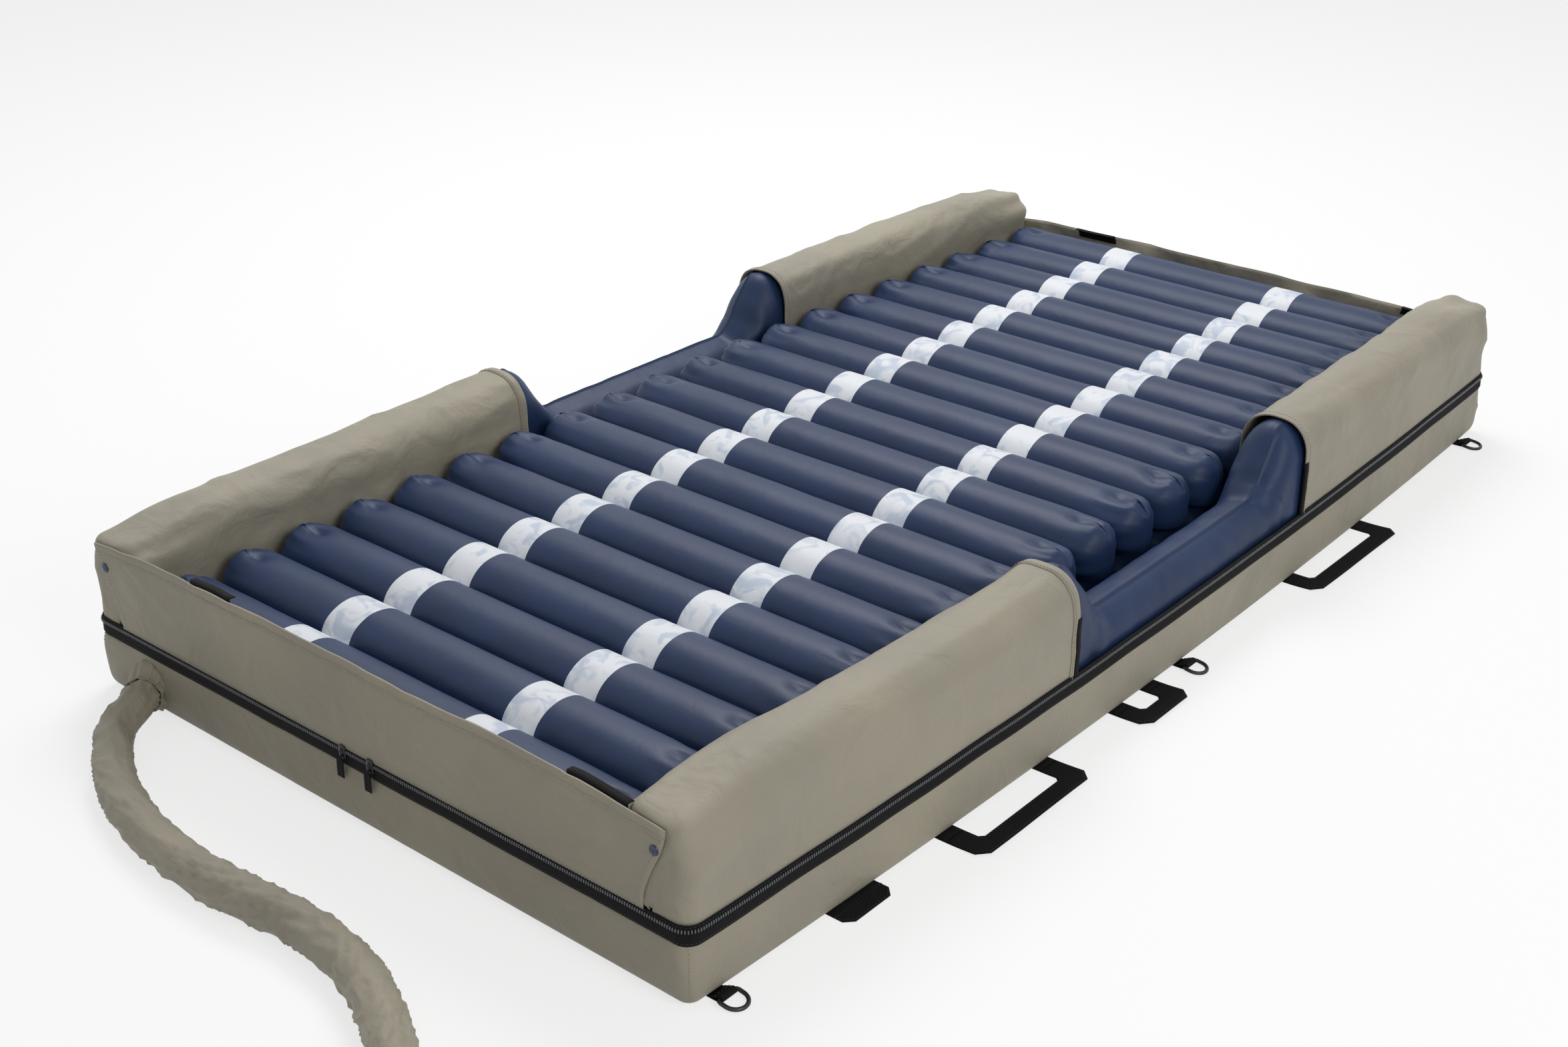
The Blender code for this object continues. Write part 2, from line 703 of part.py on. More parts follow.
# ---- small fittings -------------------------------------------------------------------------
def slider_front():
    return -HALF_LENGTH - COIL_PROUD - 2 * GAP - SLIDER_DEPTH


def zip_slider(name, x):
    """Slider on the coil at the foot end."""
    back = slider_front() + SLIDER_DEPTH
    low, high = SLIDER_Z
    half = SLIDER_WIDTH / 2
    sections = []
    for y, shrink in ((back, 0.0), (slider_front() + 0.0015, 0.0), (slider_front(), 0.0015)):
        sections.append([(x - half + shrink, y, low + 0.004), (x - half + 0.004, y, low + shrink),
                         (x + half - 0.004, y, low + shrink), (x + half - shrink, y, low + 0.004),
                         (x + half - shrink, y, high - shrink), (x - half + shrink, y, high - shrink)])
    loft(name, sections, black_plastic())


def pull_tab(name, x):
    """Fabric pull hanging from the slider; its origin is on the hinge line."""
    half = PULL_WIDTH / 2
    edge = PULL_THICK / 2
    sections = []
    for z, share in ((edge, 0.7), (0.0, 0.9), (-0.004, 1.0), (-PULL_LENGTH, 1.0)):
        sections.append([(-half * share, -edge, z), (half * share, -edge, z),
                         (half * share, edge, z), (-half * share, edge, z)])
    made = loft(name, sections, black_web())
    made.location = (x, slider_front() - PULL_AXIS_OUT, SLIDER_Z[0] + 0.004)


def press_stud(name, x):
    """Domed cap of a press stud on the end of a sleeve."""
    sections = []
    for depth, radius in ((0.0, STUD_R), (0.4 * STUD_THICK, STUD_R), (STUD_THICK, 0.6 * STUD_R)):
        ring = []
        for k in range(12):
            a = 2 * math.pi * k / 12
            ring.append((x + radius * math.cos(a), -HALF_LENGTH - GAP - depth,
                         STUD_Z + radius * math.sin(a)))
        sections.append(ring)
    loft(name, sections, stud_metal())


# ---- the whole mattress ---------------------------------------------------------------------
def build():
    for old in list(bpy.data.objects):
        bpy.data.objects.remove(old, do_unlink=True)
    base_cover()
    zipper_tape()
    end_panel("foot_end_panel", -1, FOOT_PANEL_TOP)
    end_panel("head_end_panel", 1, HEAD_PANEL_TOP)
    for sign in (-1, 1):
        side = side_name(sign)
        side_bolster(f"side_bolster_{side}", sign)
        for end, place in ((-1, "foot"), (1, "head")):
            bolster_sleeve(f"bolster_sleeve_{side}_{place}", sign, end)
        for kind, place, share, length, reach in HANDLES:
            handle(kind, place, share * HALF_LENGTH, length, reach, sign)
        for place, share in RINGS:
            d_ring(place, share * HALF_LENGTH, sign)
            d_ring_tab(place, share * HALF_LENGTH, sign)
        press_stud(f"press_stud_{side}", sign * (WIDTH_FOOT / 2 - STUD_INSET))
    for index in range(CELL_COUNT):
        air_cell(index)
    twin_air_line()
    hose_cuff()
    hose_sleeve()
    hose_connector()
    for sign, x in zip((-1, 1), SLIDER_X):
        zip_slider(f"zip_slider_{side_name(sign)}", x)
        pull_tab(f"zip_pull_tab_{side_name(sign)}", x)


build()
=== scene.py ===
"""Finish of an alternating pressure relief mattress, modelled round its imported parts.

Laid out as an add-on and run as a script. Metres, +Z up, +Y from the foot end to the head end.
"""
import math

import bmesh
import bpy
from bpy.props import FloatProperty, FloatVectorProperty, PointerProperty
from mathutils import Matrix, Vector, noise


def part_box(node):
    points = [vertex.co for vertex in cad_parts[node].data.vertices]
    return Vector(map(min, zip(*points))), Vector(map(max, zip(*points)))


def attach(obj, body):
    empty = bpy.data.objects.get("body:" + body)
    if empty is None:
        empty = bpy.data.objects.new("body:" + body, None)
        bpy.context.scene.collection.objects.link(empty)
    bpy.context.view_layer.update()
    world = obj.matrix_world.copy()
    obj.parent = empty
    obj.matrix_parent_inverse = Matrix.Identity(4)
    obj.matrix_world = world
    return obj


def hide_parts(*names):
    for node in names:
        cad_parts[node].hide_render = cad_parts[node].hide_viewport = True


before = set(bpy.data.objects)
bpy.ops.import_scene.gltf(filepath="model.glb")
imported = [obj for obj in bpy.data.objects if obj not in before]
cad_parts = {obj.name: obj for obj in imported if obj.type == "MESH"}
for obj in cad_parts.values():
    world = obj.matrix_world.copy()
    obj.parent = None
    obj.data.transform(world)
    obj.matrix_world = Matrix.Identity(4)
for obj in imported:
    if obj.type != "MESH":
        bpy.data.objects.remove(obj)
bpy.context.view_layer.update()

bl_info = {
    "name": "Pressure Relief Mattress",
    "version": (1, 0, 0),
    "blender": (4, 5, 0),
    "location": "View3D > Sidebar > Mattress",
    "description": "Builds the cover, air cells, bolsters, zip, webbing and hose of an air mattress",
    "category": "Add Mesh",
}

# ---- sizes that the pieces share, worked out from the frame --------------------------------
HALF_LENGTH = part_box("base_cover")[1][1]
HALF_FOOT = 0.530               # half the outside width at the foot wall
HALF_MIDDLE = 0.546
HALF_HEAD = 0.516
CORNER_R = 0.020
EDGE_R = 0.018
ZIP_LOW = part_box("zipper_tape")[0][2]
ZIP_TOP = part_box("zipper_tape")[1][2]
SLEEVE_MOUTH = -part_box("bolster_sleeve_left_foot")[1][1]
SLEEVE_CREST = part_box("bolster_sleeve_left_foot")[1][2]
SLEEVE_WIDTH = 0.104
SLEEVE_SPRING = 0.190           # where the rounded top of a sleeve starts
SLEEVE_HEM = 0.125              # lower edge of a sleeve's inner side
CORNER_DROP = 0.016             # the sleeve sinks this much towards the corner
FOOT_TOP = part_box("foot_end_panel")[1][2]
HEAD_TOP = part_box("head_end_panel")[1][2]
CLOTH = 0.0014
CELL_COUNT = 20
CELL_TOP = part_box("air_cell_10")[1][2]
CELL_HALF_WIDTH = 0.0487
TRAY_FLOOR = 0.0036
BOLSTER_RISE = (0.200, 0.292)
WEB_WIDTH = 0.034
WEB_THICK = 0.0016
WALL_SEED = 3.0


# ---- settings a user would change -----------------------------------------------------------
def linear(code):
    """sRGB hex to linear RGB."""
    channels = [int(code[i:i + 2], 16) / 255 for i in (1, 3, 5)]
    return [c / 12.92 if c <= 0.04045 else ((c + 0.055) / 1.055) ** 2.4 for c in channels]


def colour(name, description, code):
    return FloatVectorProperty(name=name, description=description, subtype="COLOR", size=3,
                               min=0.0, max=1.0, default=linear(code))


def size(name, description, default):
    return FloatProperty(name=name, description=description, default=default, unit="LENGTH")


class MattressSettings(bpy.types.PropertyGroup):
    """Colours and sizes of the mattress's finish."""
    nylon: colour("Nylon", "Coated nylon of the cover", "#8E897B")
    nylon_warm: colour("Nylon, warm", "Warmer patches of the same cloth", "#A09986")
    film: colour("Cell film", "Navy film of the cells and bolsters", "#1F3050")
    band: colour("Window band", "Pale welded bands across the cells", "#D9DCE1")
    webbing: colour("Webbing", "Black straps and zip tape", "#0C0C0D")
    band_offset: size("Band offset", "Middle of each pale band from the mattress's middle", 0.165)
    band_width: size("Band width", "Width of each pale band", 0.053)
    fold_depth: size("Fold depth", "How deep the cover's cloth creases", 0.0034)
    stitch: size("Stitch length", "Length of a stitch with its gap", 0.0050)
    tooth: size("Coil pitch", "Distance between turns of the zip coil", 0.0036)


def settings():
    return bpy.context.scene.mattress


# ---- node helpers ---------------------------------------------------------------------------
def add(tree, kind, inputs=None, **attributes):
    """A node with its settings; inputs maps a socket to a value or to another node's socket."""
    made = tree.nodes.new(kind)
    for key, value in attributes.items():
        setattr(made, key, value)
    for key, value in (inputs or {}).items():
        if isinstance(value, bpy.types.NodeSocket):
            tree.links.new(value, made.inputs[key])
        else:
            made.inputs[key].default_value = value
    return made


def blank_material(name, roughness, metallic=0.0):
    made = bpy.data.materials.new(name)
    made.use_nodes = True
    shader = made.node_tree.nodes["Principled BSDF"]
    shader.inputs["Roughness"].default_value = roughness
    shader.inputs["Metallic"].default_value = metallic
    return made, made.node_tree, shader


def two_tone(tree, factor, dark, light, low=0.3, high=0.7):
    """Colour ramp between two linear colours."""
    ramp = add(tree, "ShaderNodeValToRGB", {"Fac": factor})
    first, last = ramp.color_ramp.elements
    first.position, last.position = low, high
    first.color, last.color = (*dark, 1.0), (*light, 1.0)
    return ramp.outputs["Color"]


def wave_scale(spacing):
    """Wave texture scale whose bands are this far apart."""
    return math.tau / (20 * spacing)


def darker(shade, share):
    return [c * share for c in shade]


def weave_height(tree, vector, warp, weft):
    """Threads crossing at right angles, with their spacing in metres."""
    rows = add(tree, "ShaderNodeTexWave", {"Vector": vector, "Scale": wave_scale(warp)},
               bands_direction="X")
    columns = add(tree, "ShaderNodeTexWave", {"Vector": vector, "Scale": wave_scale(weft)},
                  bands_direction="Y")
    return add(tree, "ShaderNodeMath", {0: rows.outputs["Fac"], 1: columns.outputs["Fac"]},
               operation="MULTIPLY").outputs[0]


# ---- materials ------------------------------------------------------------------------------
def coated_nylon():
    """Oxford nylon with a polyurethane back: a dry, slightly silky cloth that creases sharply."""
    made, tree, shader = blank_material("coated_oxford_nylon", 0.58)
    shader.inputs["Sheen Weight"].default_value = 0.12
    shader.inputs["Specular IOR Level"].default_value = 0.35
    place = add(tree, "ShaderNodeTexCoord")
    patches = add(tree, "ShaderNodeTexNoise",
                  {"Vector": place.outputs["Object"], "Scale": 4.0, "Detail": 3.0})
    tone = two_tone(tree, patches.outputs["Fac"], settings().nylon, settings().nylon_warm)
    # Oxford threads are 0.5 mm apart; they are drawn 1.8 mm apart so that they still show.
    threads = weave_height(tree, place.outputs["UV"], 0.0018, 0.0018)
    # The colour is darkened in the hollows between threads and lifted on their crossings: painted
    # shade and highlight of the weave.
    shade = add(tree, "ShaderNodeMapRange", {"Value": threads, "To Min": 0.90, "To Max": 1.06})
    cloth = add(tree, "ShaderNodeVectorMath", {0: tone, 1: shade.outputs["Result"]},
                operation="MULTIPLY")
    tree.links.new(cloth.outputs[0], shader.inputs["Base Color"])
    crumple = add(tree, "ShaderNodeTexNoise",
                  {"Vector": place.outputs["Object"], "Scale": 17.0, "Detail": 4.0,
                   "Roughness": 0.5, "Distortion": 0.8})
    soft = add(tree, "ShaderNodeBump", {"Height": crumple.outputs["Fac"], "Strength": 0.8,
                                        "Distance": 0.007})
    # A few sharp creases run across the soft crumpling.
    crease = add(tree, "ShaderNodeTexNoise",
                 {"Vector": place.outputs["Object"], "Scale": 11.0, "Detail": 2.0,
                  "Distortion": 1.5}, noise_type="RIDGED_MULTIFRACTAL")
    sharp = add(tree, "ShaderNodeBump", {"Height": crease.outputs["Fac"], "Strength": 0.35,
                                         "Distance": 0.005, "Normal": soft.outputs["Normal"]})
    fine = add(tree, "ShaderNodeBump", {"Height": threads, "Strength": 0.35, "Distance": 0.0004,
                                        "Normal": sharp.outputs["Normal"]})
    tree.links.new(fine.outputs["Normal"], shader.inputs["Normal"])
    return made


def tpu_film(name, banded):
    """Cloth-backed polyurethane film: dense navy, satin, with a fine embossed grain."""
    made, tree, shader = blank_material(name, 0.46)
    shader.inputs["Specular IOR Level"].default_value = 0.26
    place = add(tree, "ShaderNodeTexCoord")
    cloud = add(tree, "ShaderNodeTexNoise",
                {"Vector": place.outputs["Object"], "Scale": 9.0, "Detail": 3.0})
    film = settings().film
    tone = two_tone(tree, cloud.outputs["Fac"], darker(film, 0.88), darker(film, 1.10))
    grain = add(tree, "ShaderNodeTexNoise",
                {"Vector": place.outputs["Object"], "Scale": 700.0, "Detail": 2.0})
    crinkle = add(tree, "ShaderNodeTexNoise",
                  {"Vector": place.outputs["Object"], "Scale": 34.0, "Detail": 4.0,
                   "Distortion": 0.4})
    soft = add(tree, "ShaderNodeBump", {"Height": crinkle.outputs["Fac"], "Strength": 0.25,
                                        "Distance": 0.003})
    fine = add(tree, "ShaderNodeBump", {"Height": grain.outputs["Fac"], "Strength": 0.12,
                                        "Distance": 0.0003, "Normal": soft.outputs["Normal"]})
    tree.links.new(fine.outputs["Normal"], shader.inputs["Normal"])
    if not banded:
        tree.links.new(tone, shader.inputs["Base Color"])
        return made
    across = add(tree, "ShaderNodeSeparateXYZ", {"Vector": place.outputs["Object"]})
    side = add(tree, "ShaderNodeMath", {0: across.outputs["X"]}, operation="ABSOLUTE")
    away = add(tree, "ShaderNodeMath", {0: side.outputs[0], 1: settings().band_offset},
               operation="SUBTRACT")
    reach = add(tree, "ShaderNodeMath", {0: away.outputs[0]}, operation="ABSOLUTE")
    inside = add(tree, "ShaderNodeMath", {0: reach.outputs[0], 1: settings().band_width / 2},
                 operation="LESS_THAN")
    # The pale film is thin, so what lies under it shows as faint blue-grey clouds.
    mottle = add(tree, "ShaderNodeTexNoise",
                 {"Vector": place.outputs["Object"], "Scale": 30.0, "Detail": 2.0,
                  "Distortion": 1.2})
    pale = two_tone(tree, mottle.outputs["Fac"], linear("#B9C3D2"), settings().band, 0.36, 0.50)
    mixed = add(tree, "ShaderNodeMix", {0: inside.outputs[0], 6: tone, 7: pale},
                data_type="RGBA")
    tree.links.new(mixed.outputs[2], shader.inputs["Base Color"])
    return made


def woven_webbing(name="polyester_webbing", rib=0.0022):
    """Flat polyester strap: matt black with ribs across it."""
    made, tree, shader = blank_material(name, 0.82)
    shader.inputs["Specular IOR Level"].default_value = 0.20
    place = add(tree, "ShaderNodeTexCoord")
    ribs = weave_height(tree, place.outputs["UV"], rib, rib * 0.6)
    black = settings().webbing
    # The colour follows the ribs, darker in their hollows and lighter on their crowns: painted shade
    # and highlight of the weave.
    tone = two_tone(tree, ribs, darker(black, 0.5), darker(black, 1.7), 0.1, 0.9)
    tree.links.new(tone, shader.inputs["Base Color"])
    bump = add(tree, "ShaderNodeBump", {"Height": ribs, "Strength": 0.8, "Distance": 0.0006})
    tree.links.new(bump.outputs["Normal"], shader.inputs["Normal"])
    return made


def plain_finish(name, code, roughness, metallic=0.0, grain=260.0):
    """Smooth moulded or turned surface with a light grain in colour, gloss and height."""
    made, tree, shader = blank_material(name, roughness, metallic)
    place = add(tree, "ShaderNodeTexCoord")
    speck = add(tree, "ShaderNodeTexNoise",
                {"Vector": place.outputs["Object"], "Scale": grain, "Detail": 3.0})
    base = linear(code)
    tone = two_tone(tree, speck.outputs["Fac"], darker(base, 0.82), darker(base, 1.15))
    tree.links.new(tone, shader.inputs["Base Color"])
    gloss = add(tree, "ShaderNodeMapRange", {"Value": speck.outputs["Fac"],
                                             "To Min": roughness - 0.06,
                                             "To Max": roughness + 0.06})
    tree.links.new(gloss.outputs["Result"], shader.inputs["Roughness"])
    bump = add(tree, "ShaderNodeBump", {"Height": speck.outputs["Fac"], "Strength": 0.15,
                                        "Distance": 0.0003})
    tree.links.new(bump.outputs["Normal"], shader.inputs["Normal"])
    return made


MATERIALS = {
    "nylon": coated_nylon,
    "cell_film": lambda: tpu_film("tpu_film_with_window_bands", True),
    "bolster_film": lambda: tpu_film("tpu_film_plain", False),
    "webbing": woven_webbing,
    "zip_tape": lambda: woven_webbing("knitted_zip_tape", 0.0014),
    # Moulded acetal is tough and slightly waxy, so it has a soft gloss.
    "acetal": lambda: plain_finish("moulded_acetal", "#17171A", 0.36),
    # The coil is extruded monofilament and catches small cold highlights from its gloss; its black
    # is also given as a cool grey, a painted highlight over the whole coil.
    "coil": lambda: plain_finish("monofilament_coil", "#55575C", 0.28),
    "grey_thread": lambda: plain_finish("grey_sewing_thread", "#A8A391", 0.7, grain=900.0),
    "black_thread": lambda: plain_finish("black_sewing_thread", "#1B1B1E", 0.7, grain=900.0),
    "stud": lambda: plain_finish("lacquered_press_stud", "#464C60", 0.30, 0.9, grain=120.0),
    "pvc": lambda: plain_finish("soft_clear_pvc", "#B4BDBD", 0.28, grain=60.0),
}
made_materials = {}


def finish(key):
    if key not in made_materials:
        made_materials[key] = MATERIALS[key]()
    return made_materials[key]


# ---- mesh helpers ---------------------------------------------------------------------------
def mix(a, b, t):
    return a + (b - a) * t


def ease(t):
    t = min(1.0, max(0.0, t))
    return t * t * (3 - 2 * t)


def new_piece(name, bm, material, body="mattress", slot=None, replaces=()):
    """Turns a bmesh in the row frame into a finished piece."""
    mesh = bpy.data.meshes.new(name)
    bm.to_mesh(mesh)
    bm.free()
    mesh.shade_smooth()
    made = bpy.data.objects.new(name, mesh)
    bpy.context.scene.collection.objects.link(made)
    mesh.materials.append(finish(material))
    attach(made, body)
    if replaces:
        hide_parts(*replaces)
    return made


def grid_normals(points, ring):
    rows, columns = len(points), len(points[0])
    normals = []
    for i in range(rows):
        line = []
        for j in range(columns):
            before = (j - 1) % columns if ring else max(0, j - 1)
            after = (j + 1) % columns if ring else min(columns - 1, j + 1)
            along = points[i][after] - points[i][before]
            across = points[min(rows - 1, i + 1)][j] - points[max(0, i - 1)][j]
            line.append(along.cross(across).normalized())
        normals.append(line)
    return normals


def walked(points, ring):
    """Distance along each row and along each column, for a UV map in metres."""
    rows, columns = len(points), len(points[0])
    along = []
    for row in points:
        sums = [0.0]
        for j in range(1, columns + (1 if ring else 0)):
            sums.append(sums[-1] + (row[j % columns] - row[j - 1]).length)
        along.append(sums)
    across = [[0.0] * columns]
    for i in range(1, rows):
        across.append([across[-1][j] + (points[i][j] - points[i - 1][j]).length
                       for j in range(columns)])
    return along, across


def grid_faces(bm, uv, verts, along, across, ring, flip):
    rows, columns = len(verts), len(verts[0])
    for i in range(rows - 1):
        for j in range(columns if ring else columns - 1):
            k = (j + 1) % columns
            corners = [(i, j, j), (i, k, j + 1), (i + 1, k, j + 1), (i + 1, j, j)]
            if flip:
                corners.reverse()
            face = bm.faces.new([verts[a][b] for a, b, _ in corners])
            for loop, (a, b, step) in zip(face.loops, corners):
                loop[uv].uv = (along[a][step], across[a][b])


def cloth(name, rows, thickness, material, ring=False, outward=None, floor=False, **piece):
    """A sheet through a grid of points, with its thickness behind it.

    ring joins each row's ends; floor closes the first row with a flat sheet."""
    points = [[Vector(p) for p in row] for row in rows]
    normals = grid_normals(points, ring)
    i, j = len(points) // 2, len(points[0]) // 2
    flat = [p for row in points for p in row]
    facing = Vector(outward) if outward else points[i][j] - sum(flat, Vector()) / len(flat)
    flip = normals[i][j].dot(facing) < 0
    back = thickness if flip else -thickness
    along, across = walked(points, ring)
    bm = bmesh.new()
    uv = bm.loops.layers.uv.new("UVMap")
    outer = [[bm.verts.new(p) for p in row] for row in points]
    inner = [[bm.verts.new(p + n * back) for p, n in zip(row, line)]
             for row, line in zip(points, normals)]
    grid_faces(bm, uv, outer, along, across, ring, flip)
    grid_faces(bm, uv, inner, along, across, ring, not flip)
    last = len(outer[0]) if ring else len(outer[0]) - 1
    for i in (0, len(outer) - 1):
        if i == 0 and floor:
            bm.faces.new(outer[0])
            bm.faces.new(inner[0])
            continue
        for j in range(last):
            k = (j + 1) % len(outer[0])
            bm.faces.new((outer[i][j], outer[i][k], inner[i][k], inner[i][j]))
    if not ring:
        for i in range(len(outer) - 1):
            for j in (0, -1):
                bm.faces.new((outer[i][j], outer[i + 1][j], inner[i + 1][j], inner[i][j]))
    bmesh.ops.recalc_face_normals(bm, faces=bm.faces)
    return new_piece(name, bm, material, **piece)


def body_of_rings(bm, rings):
    """A closed body through closed rings, with a UV map in metres."""
    points = [[Vector(p) for p in ring] for ring in rings]
    uv = bm.loops.layers.uv.get("UVMap") or bm.loops.layers.uv.new("UVMap")
    along, across = walked(points, True)
    verts = [[bm.verts.new(p) for p in row] for row in points]
    grid_faces(bm, uv, verts, along, across, True, False)
    bm.faces.new(verts[0])
    bm.faces.new(verts[-1])


def lofted(name, rings, material, **piece):
    bm = bmesh.new()
    body_of_rings(bm, rings)
    bmesh.ops.recalc_face_normals(bm, faces=bm.faces)
    return new_piece(name, bm, material, **piece)


def smooth_path(points, steps, closed=False):
    """Catmull-Rom curve through points, steps to each stretch."""
    points = [Vector(p) for p in points]
    if closed:
        ends = [points[-1]] + points + points[:2]
    else:
        ends = [2 * points[0] - points[1]] + points + [2 * points[-1] - points[-2]]
    made = []
    for p0, p1, p2, p3 in zip(ends, ends[1:], ends[2:], ends[3:]):
        for k in range(steps):
            t = k / steps
            made.append(0.5 * (2 * p1 + (p2 - p0) * t + (2 * p0 - 5 * p1 + 4 * p2 - p3) * t ** 2
                               + (3 * p1 - p0 - 3 * p2 + p3) * t ** 3))
    return made if closed else made + [points[-1]]


def tube_rings(path, radius, sides, closed=False):
    """Rings round a path; radius may be a function of the share walked and the angle."""
    rings = []
    side = None
    count = len(path)
    for i, p in enumerate(path):
        before = path[i - 1] if i or closed else p
        after = path[(i + 1) % count] if i + 1 < count or closed else p
        forward = (after - before).normalized()
        if side is None:
            side = forward.cross(Vector((0, 0, 1)))
            if side.length < 0.1:
                side = forward.cross(Vector((1, 0, 0)))
        side = (side - forward * side.dot(forward)).normalized()
        up = side.cross(forward)
        ring = []
        for k in range(sides):
            a = math.tau * k / sides
            r = radius(i / (count - 1), a) if callable(radius) else radius
            ring.append(p + side * (r * math.cos(a)) + up * (r * math.sin(a)))
        rings.append(ring)
    return rings


# ---- things that repeat along a line --------------------------------------------------------
def beads_tree():
    """Rounded beads, such as stitches or coil turns, set along a curve at even spacing."""
    tree = bpy.data.node_groups.new("beads_along_curve", "GeometryNodeTree")
    sockets = (("Curve", "INPUT", "NodeSocketGeometry"), ("Spacing", "INPUT", "NodeSocketFloat"),
               ("Bead Size", "INPUT", "NodeSocketVector"),
               ("Material", "INPUT", "NodeSocketMaterial"),
               ("Geometry", "OUTPUT", "NodeSocketGeometry"))
    for name, way, kind in sockets:
        tree.interface.new_socket(name, in_out=way, socket_type=kind)
    given = add(tree, "NodeGroupInput").outputs
    spread = add(tree, "GeometryNodeCurveToPoints", {"Curve": given["Curve"],
                                                     "Length": given["Spacing"]}, mode="LENGTH")
    bead = add(tree, "GeometryNodeMeshUVSphere", {"Segments": 6, "Rings": 4, "Radius": 0.5})
    turn = add(tree, "FunctionNodeAlignRotationToVector", {"Vector": spread.outputs["Tangent"]},
               axis="X")
    level = add(tree, "FunctionNodeAlignRotationToVector",
                {"Rotation": turn.outputs["Rotation"], "Vector": (0.0, 0.0, 1.0)},
                axis="Z", pivot_axis="X")
    placed = add(tree, "GeometryNodeInstanceOnPoints",
                 {"Points": spread.outputs["Points"], "Instance": bead.outputs["Mesh"],
                  "Rotation": level.outputs["Rotation"], "Scale": given["Bead Size"]})
    real = add(tree, "GeometryNodeRealizeInstances", {"Geometry": placed.outputs["Instances"]})
    coated = add(tree, "GeometryNodeSetMaterial", {"Geometry": real.outputs["Geometry"],
                                                   "Material": given["Material"]})
    add(tree, "NodeGroupOutput", {"Geometry": coated.outputs["Geometry"]})
    return tree


def beads(name, lines, spacing, bead_size, material, body="mattress", closed=False):
    """One plain mesh of beads along several lines of points."""
    tree = bpy.data.node_groups.get("beads_along_curve") or beads_tree()
    curve = bpy.data.curves.new(name + "_lines", "CURVE")
    curve.dimensions = "3D"
    for line in lines:
        spline = curve.splines.new("POLY")
        spline.points.add(len(line) - 1)
        for at, p in zip(spline.points, line):
            at.co = (*p, 1.0)
        spline.use_cyclic_u = closed
    guide = bpy.data.objects.new(name + "_guide", curve)
    bpy.context.scene.collection.objects.link(guide)
    setup = guide.modifiers.new("beads", "NODES")
    setup.node_group = tree
    values = {"Spacing": spacing, "Bead Size": bead_size, "Material": finish(material)}
    for item in tree.interface.items_tree:
        if item.in_out == "INPUT" and item.name in values:
            setup[item.identifier] = values[item.name]
    bpy.context.view_layer.update()
    graph = bpy.context.evaluated_depsgraph_get()
    mesh = bpy.data.meshes.new_from_object(guide.evaluated_get(graph), depsgraph=graph)
    bpy.data.objects.remove(guide, do_unlink=True)
    mesh.shade_smooth()
    made = bpy.data.objects.new(name, mesh)
    bpy.context.scene.collection.objects.link(made)
    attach(made, body)
    return made


def stitches(name, lines, material="grey_thread", body="mattress",
             closed=False):
    length = settings().stitch
    return beads(name, lines, length, (length * 0.72, 0.0009, 0.0009), material, body,
                 closed)


# ---- the plan of the cover ------------------------------------------------------------------
def half_width(y):
    t = y / HALF_LENGTH
    middle_bulge = (HALF_FOOT + HALF_HEAD) / 2 - HALF_MIDDLE
    return HALF_MIDDLE + (HALF_HEAD - HALF_FOOT) / 2 * t + middle_bulge * t * t


def outline(step):
    """Points and outward directions round the cover, anticlockwise from the right foot corner."""
    reach = HALF_LENGTH - CORNER_R
    made = []
    long_steps = int(2 * reach / step)
    wide_steps = int(1.0 / step)
    corner_steps = 6
    for turn in (0, 2):
        sign = 1 - turn
        for i in range(long_steps):
            y = sign * mix(-reach, reach, i / long_steps)
            made.append((Vector((sign * half_width(y), y, 0)), Vector((sign, 0, 0))))
        y = sign * reach
        for centre_x, start in ((sign * (half_width(y) - CORNER_R), turn * 90),
                                (-sign * (half_width(y) - CORNER_R), (turn + 1) * 90)):
            for k in range(corner_steps + 1):
                a = math.radians(start + 90 * k / corner_steps)
                away = Vector((math.cos(a), math.sin(a), 0))
                made.append((Vector((centre_x, y, 0)) + away * CORNER_R, away))
            if start == turn * 90:
                for i in range(1, wide_steps):
                    x = sign * mix(half_width(y) - CORNER_R, CORNER_R - half_width(y),
                                   i / wide_steps)
                    made.append((Vector((x, sign * HALF_LENGTH, 0)), Vector((0, sign, 0))))
        made.pop()
    return made


def folds(p, seed):
    """Height of the cloth's creases: broad waves, small ones and a few sharp ridges."""
    depth = settings().fold_depth
    x, y, z = p
    broad = noise.noise(Vector((x * 5, y * 5, z * 9 + seed)))
    small = noise.noise(Vector((x * 21, y * 21, z * 27 + seed)))
    ridge = 1 - abs(noise.noise(Vector((x * 8 + z * 11, y * 8 - z * 11, seed + 5))))
    return depth * (broad + 0.35 * small + 0.7 * ridge ** 9)


# ---- cover ----------------------------------------------------------------------------------
def wall_point(p, away, inset, z):
    """A point of the lower wall, creased outwards more than inwards."""
    held = ease((z - 0.004) / 0.02) * ease((ZIP_LOW + 0.004 - z) / 0.014)
    push = folds((p.x, p.y, z), WALL_SEED) * 1.25
    belly = 0.0022 * math.sin(math.pi * min(1.0, z / ZIP_LOW))
    # The long walls stay nearly flat outwards, as the carry loops fold up against them.
    most, least = (0.0010, -0.0026) if abs(away.x) > 0.9 else (0.0050, -0.0011)
    push = min(most, max(least, push + belly - 0.0016 * (most < 0.002))) * held
    return p + away * (push - inset) + Vector((0, 0, z))


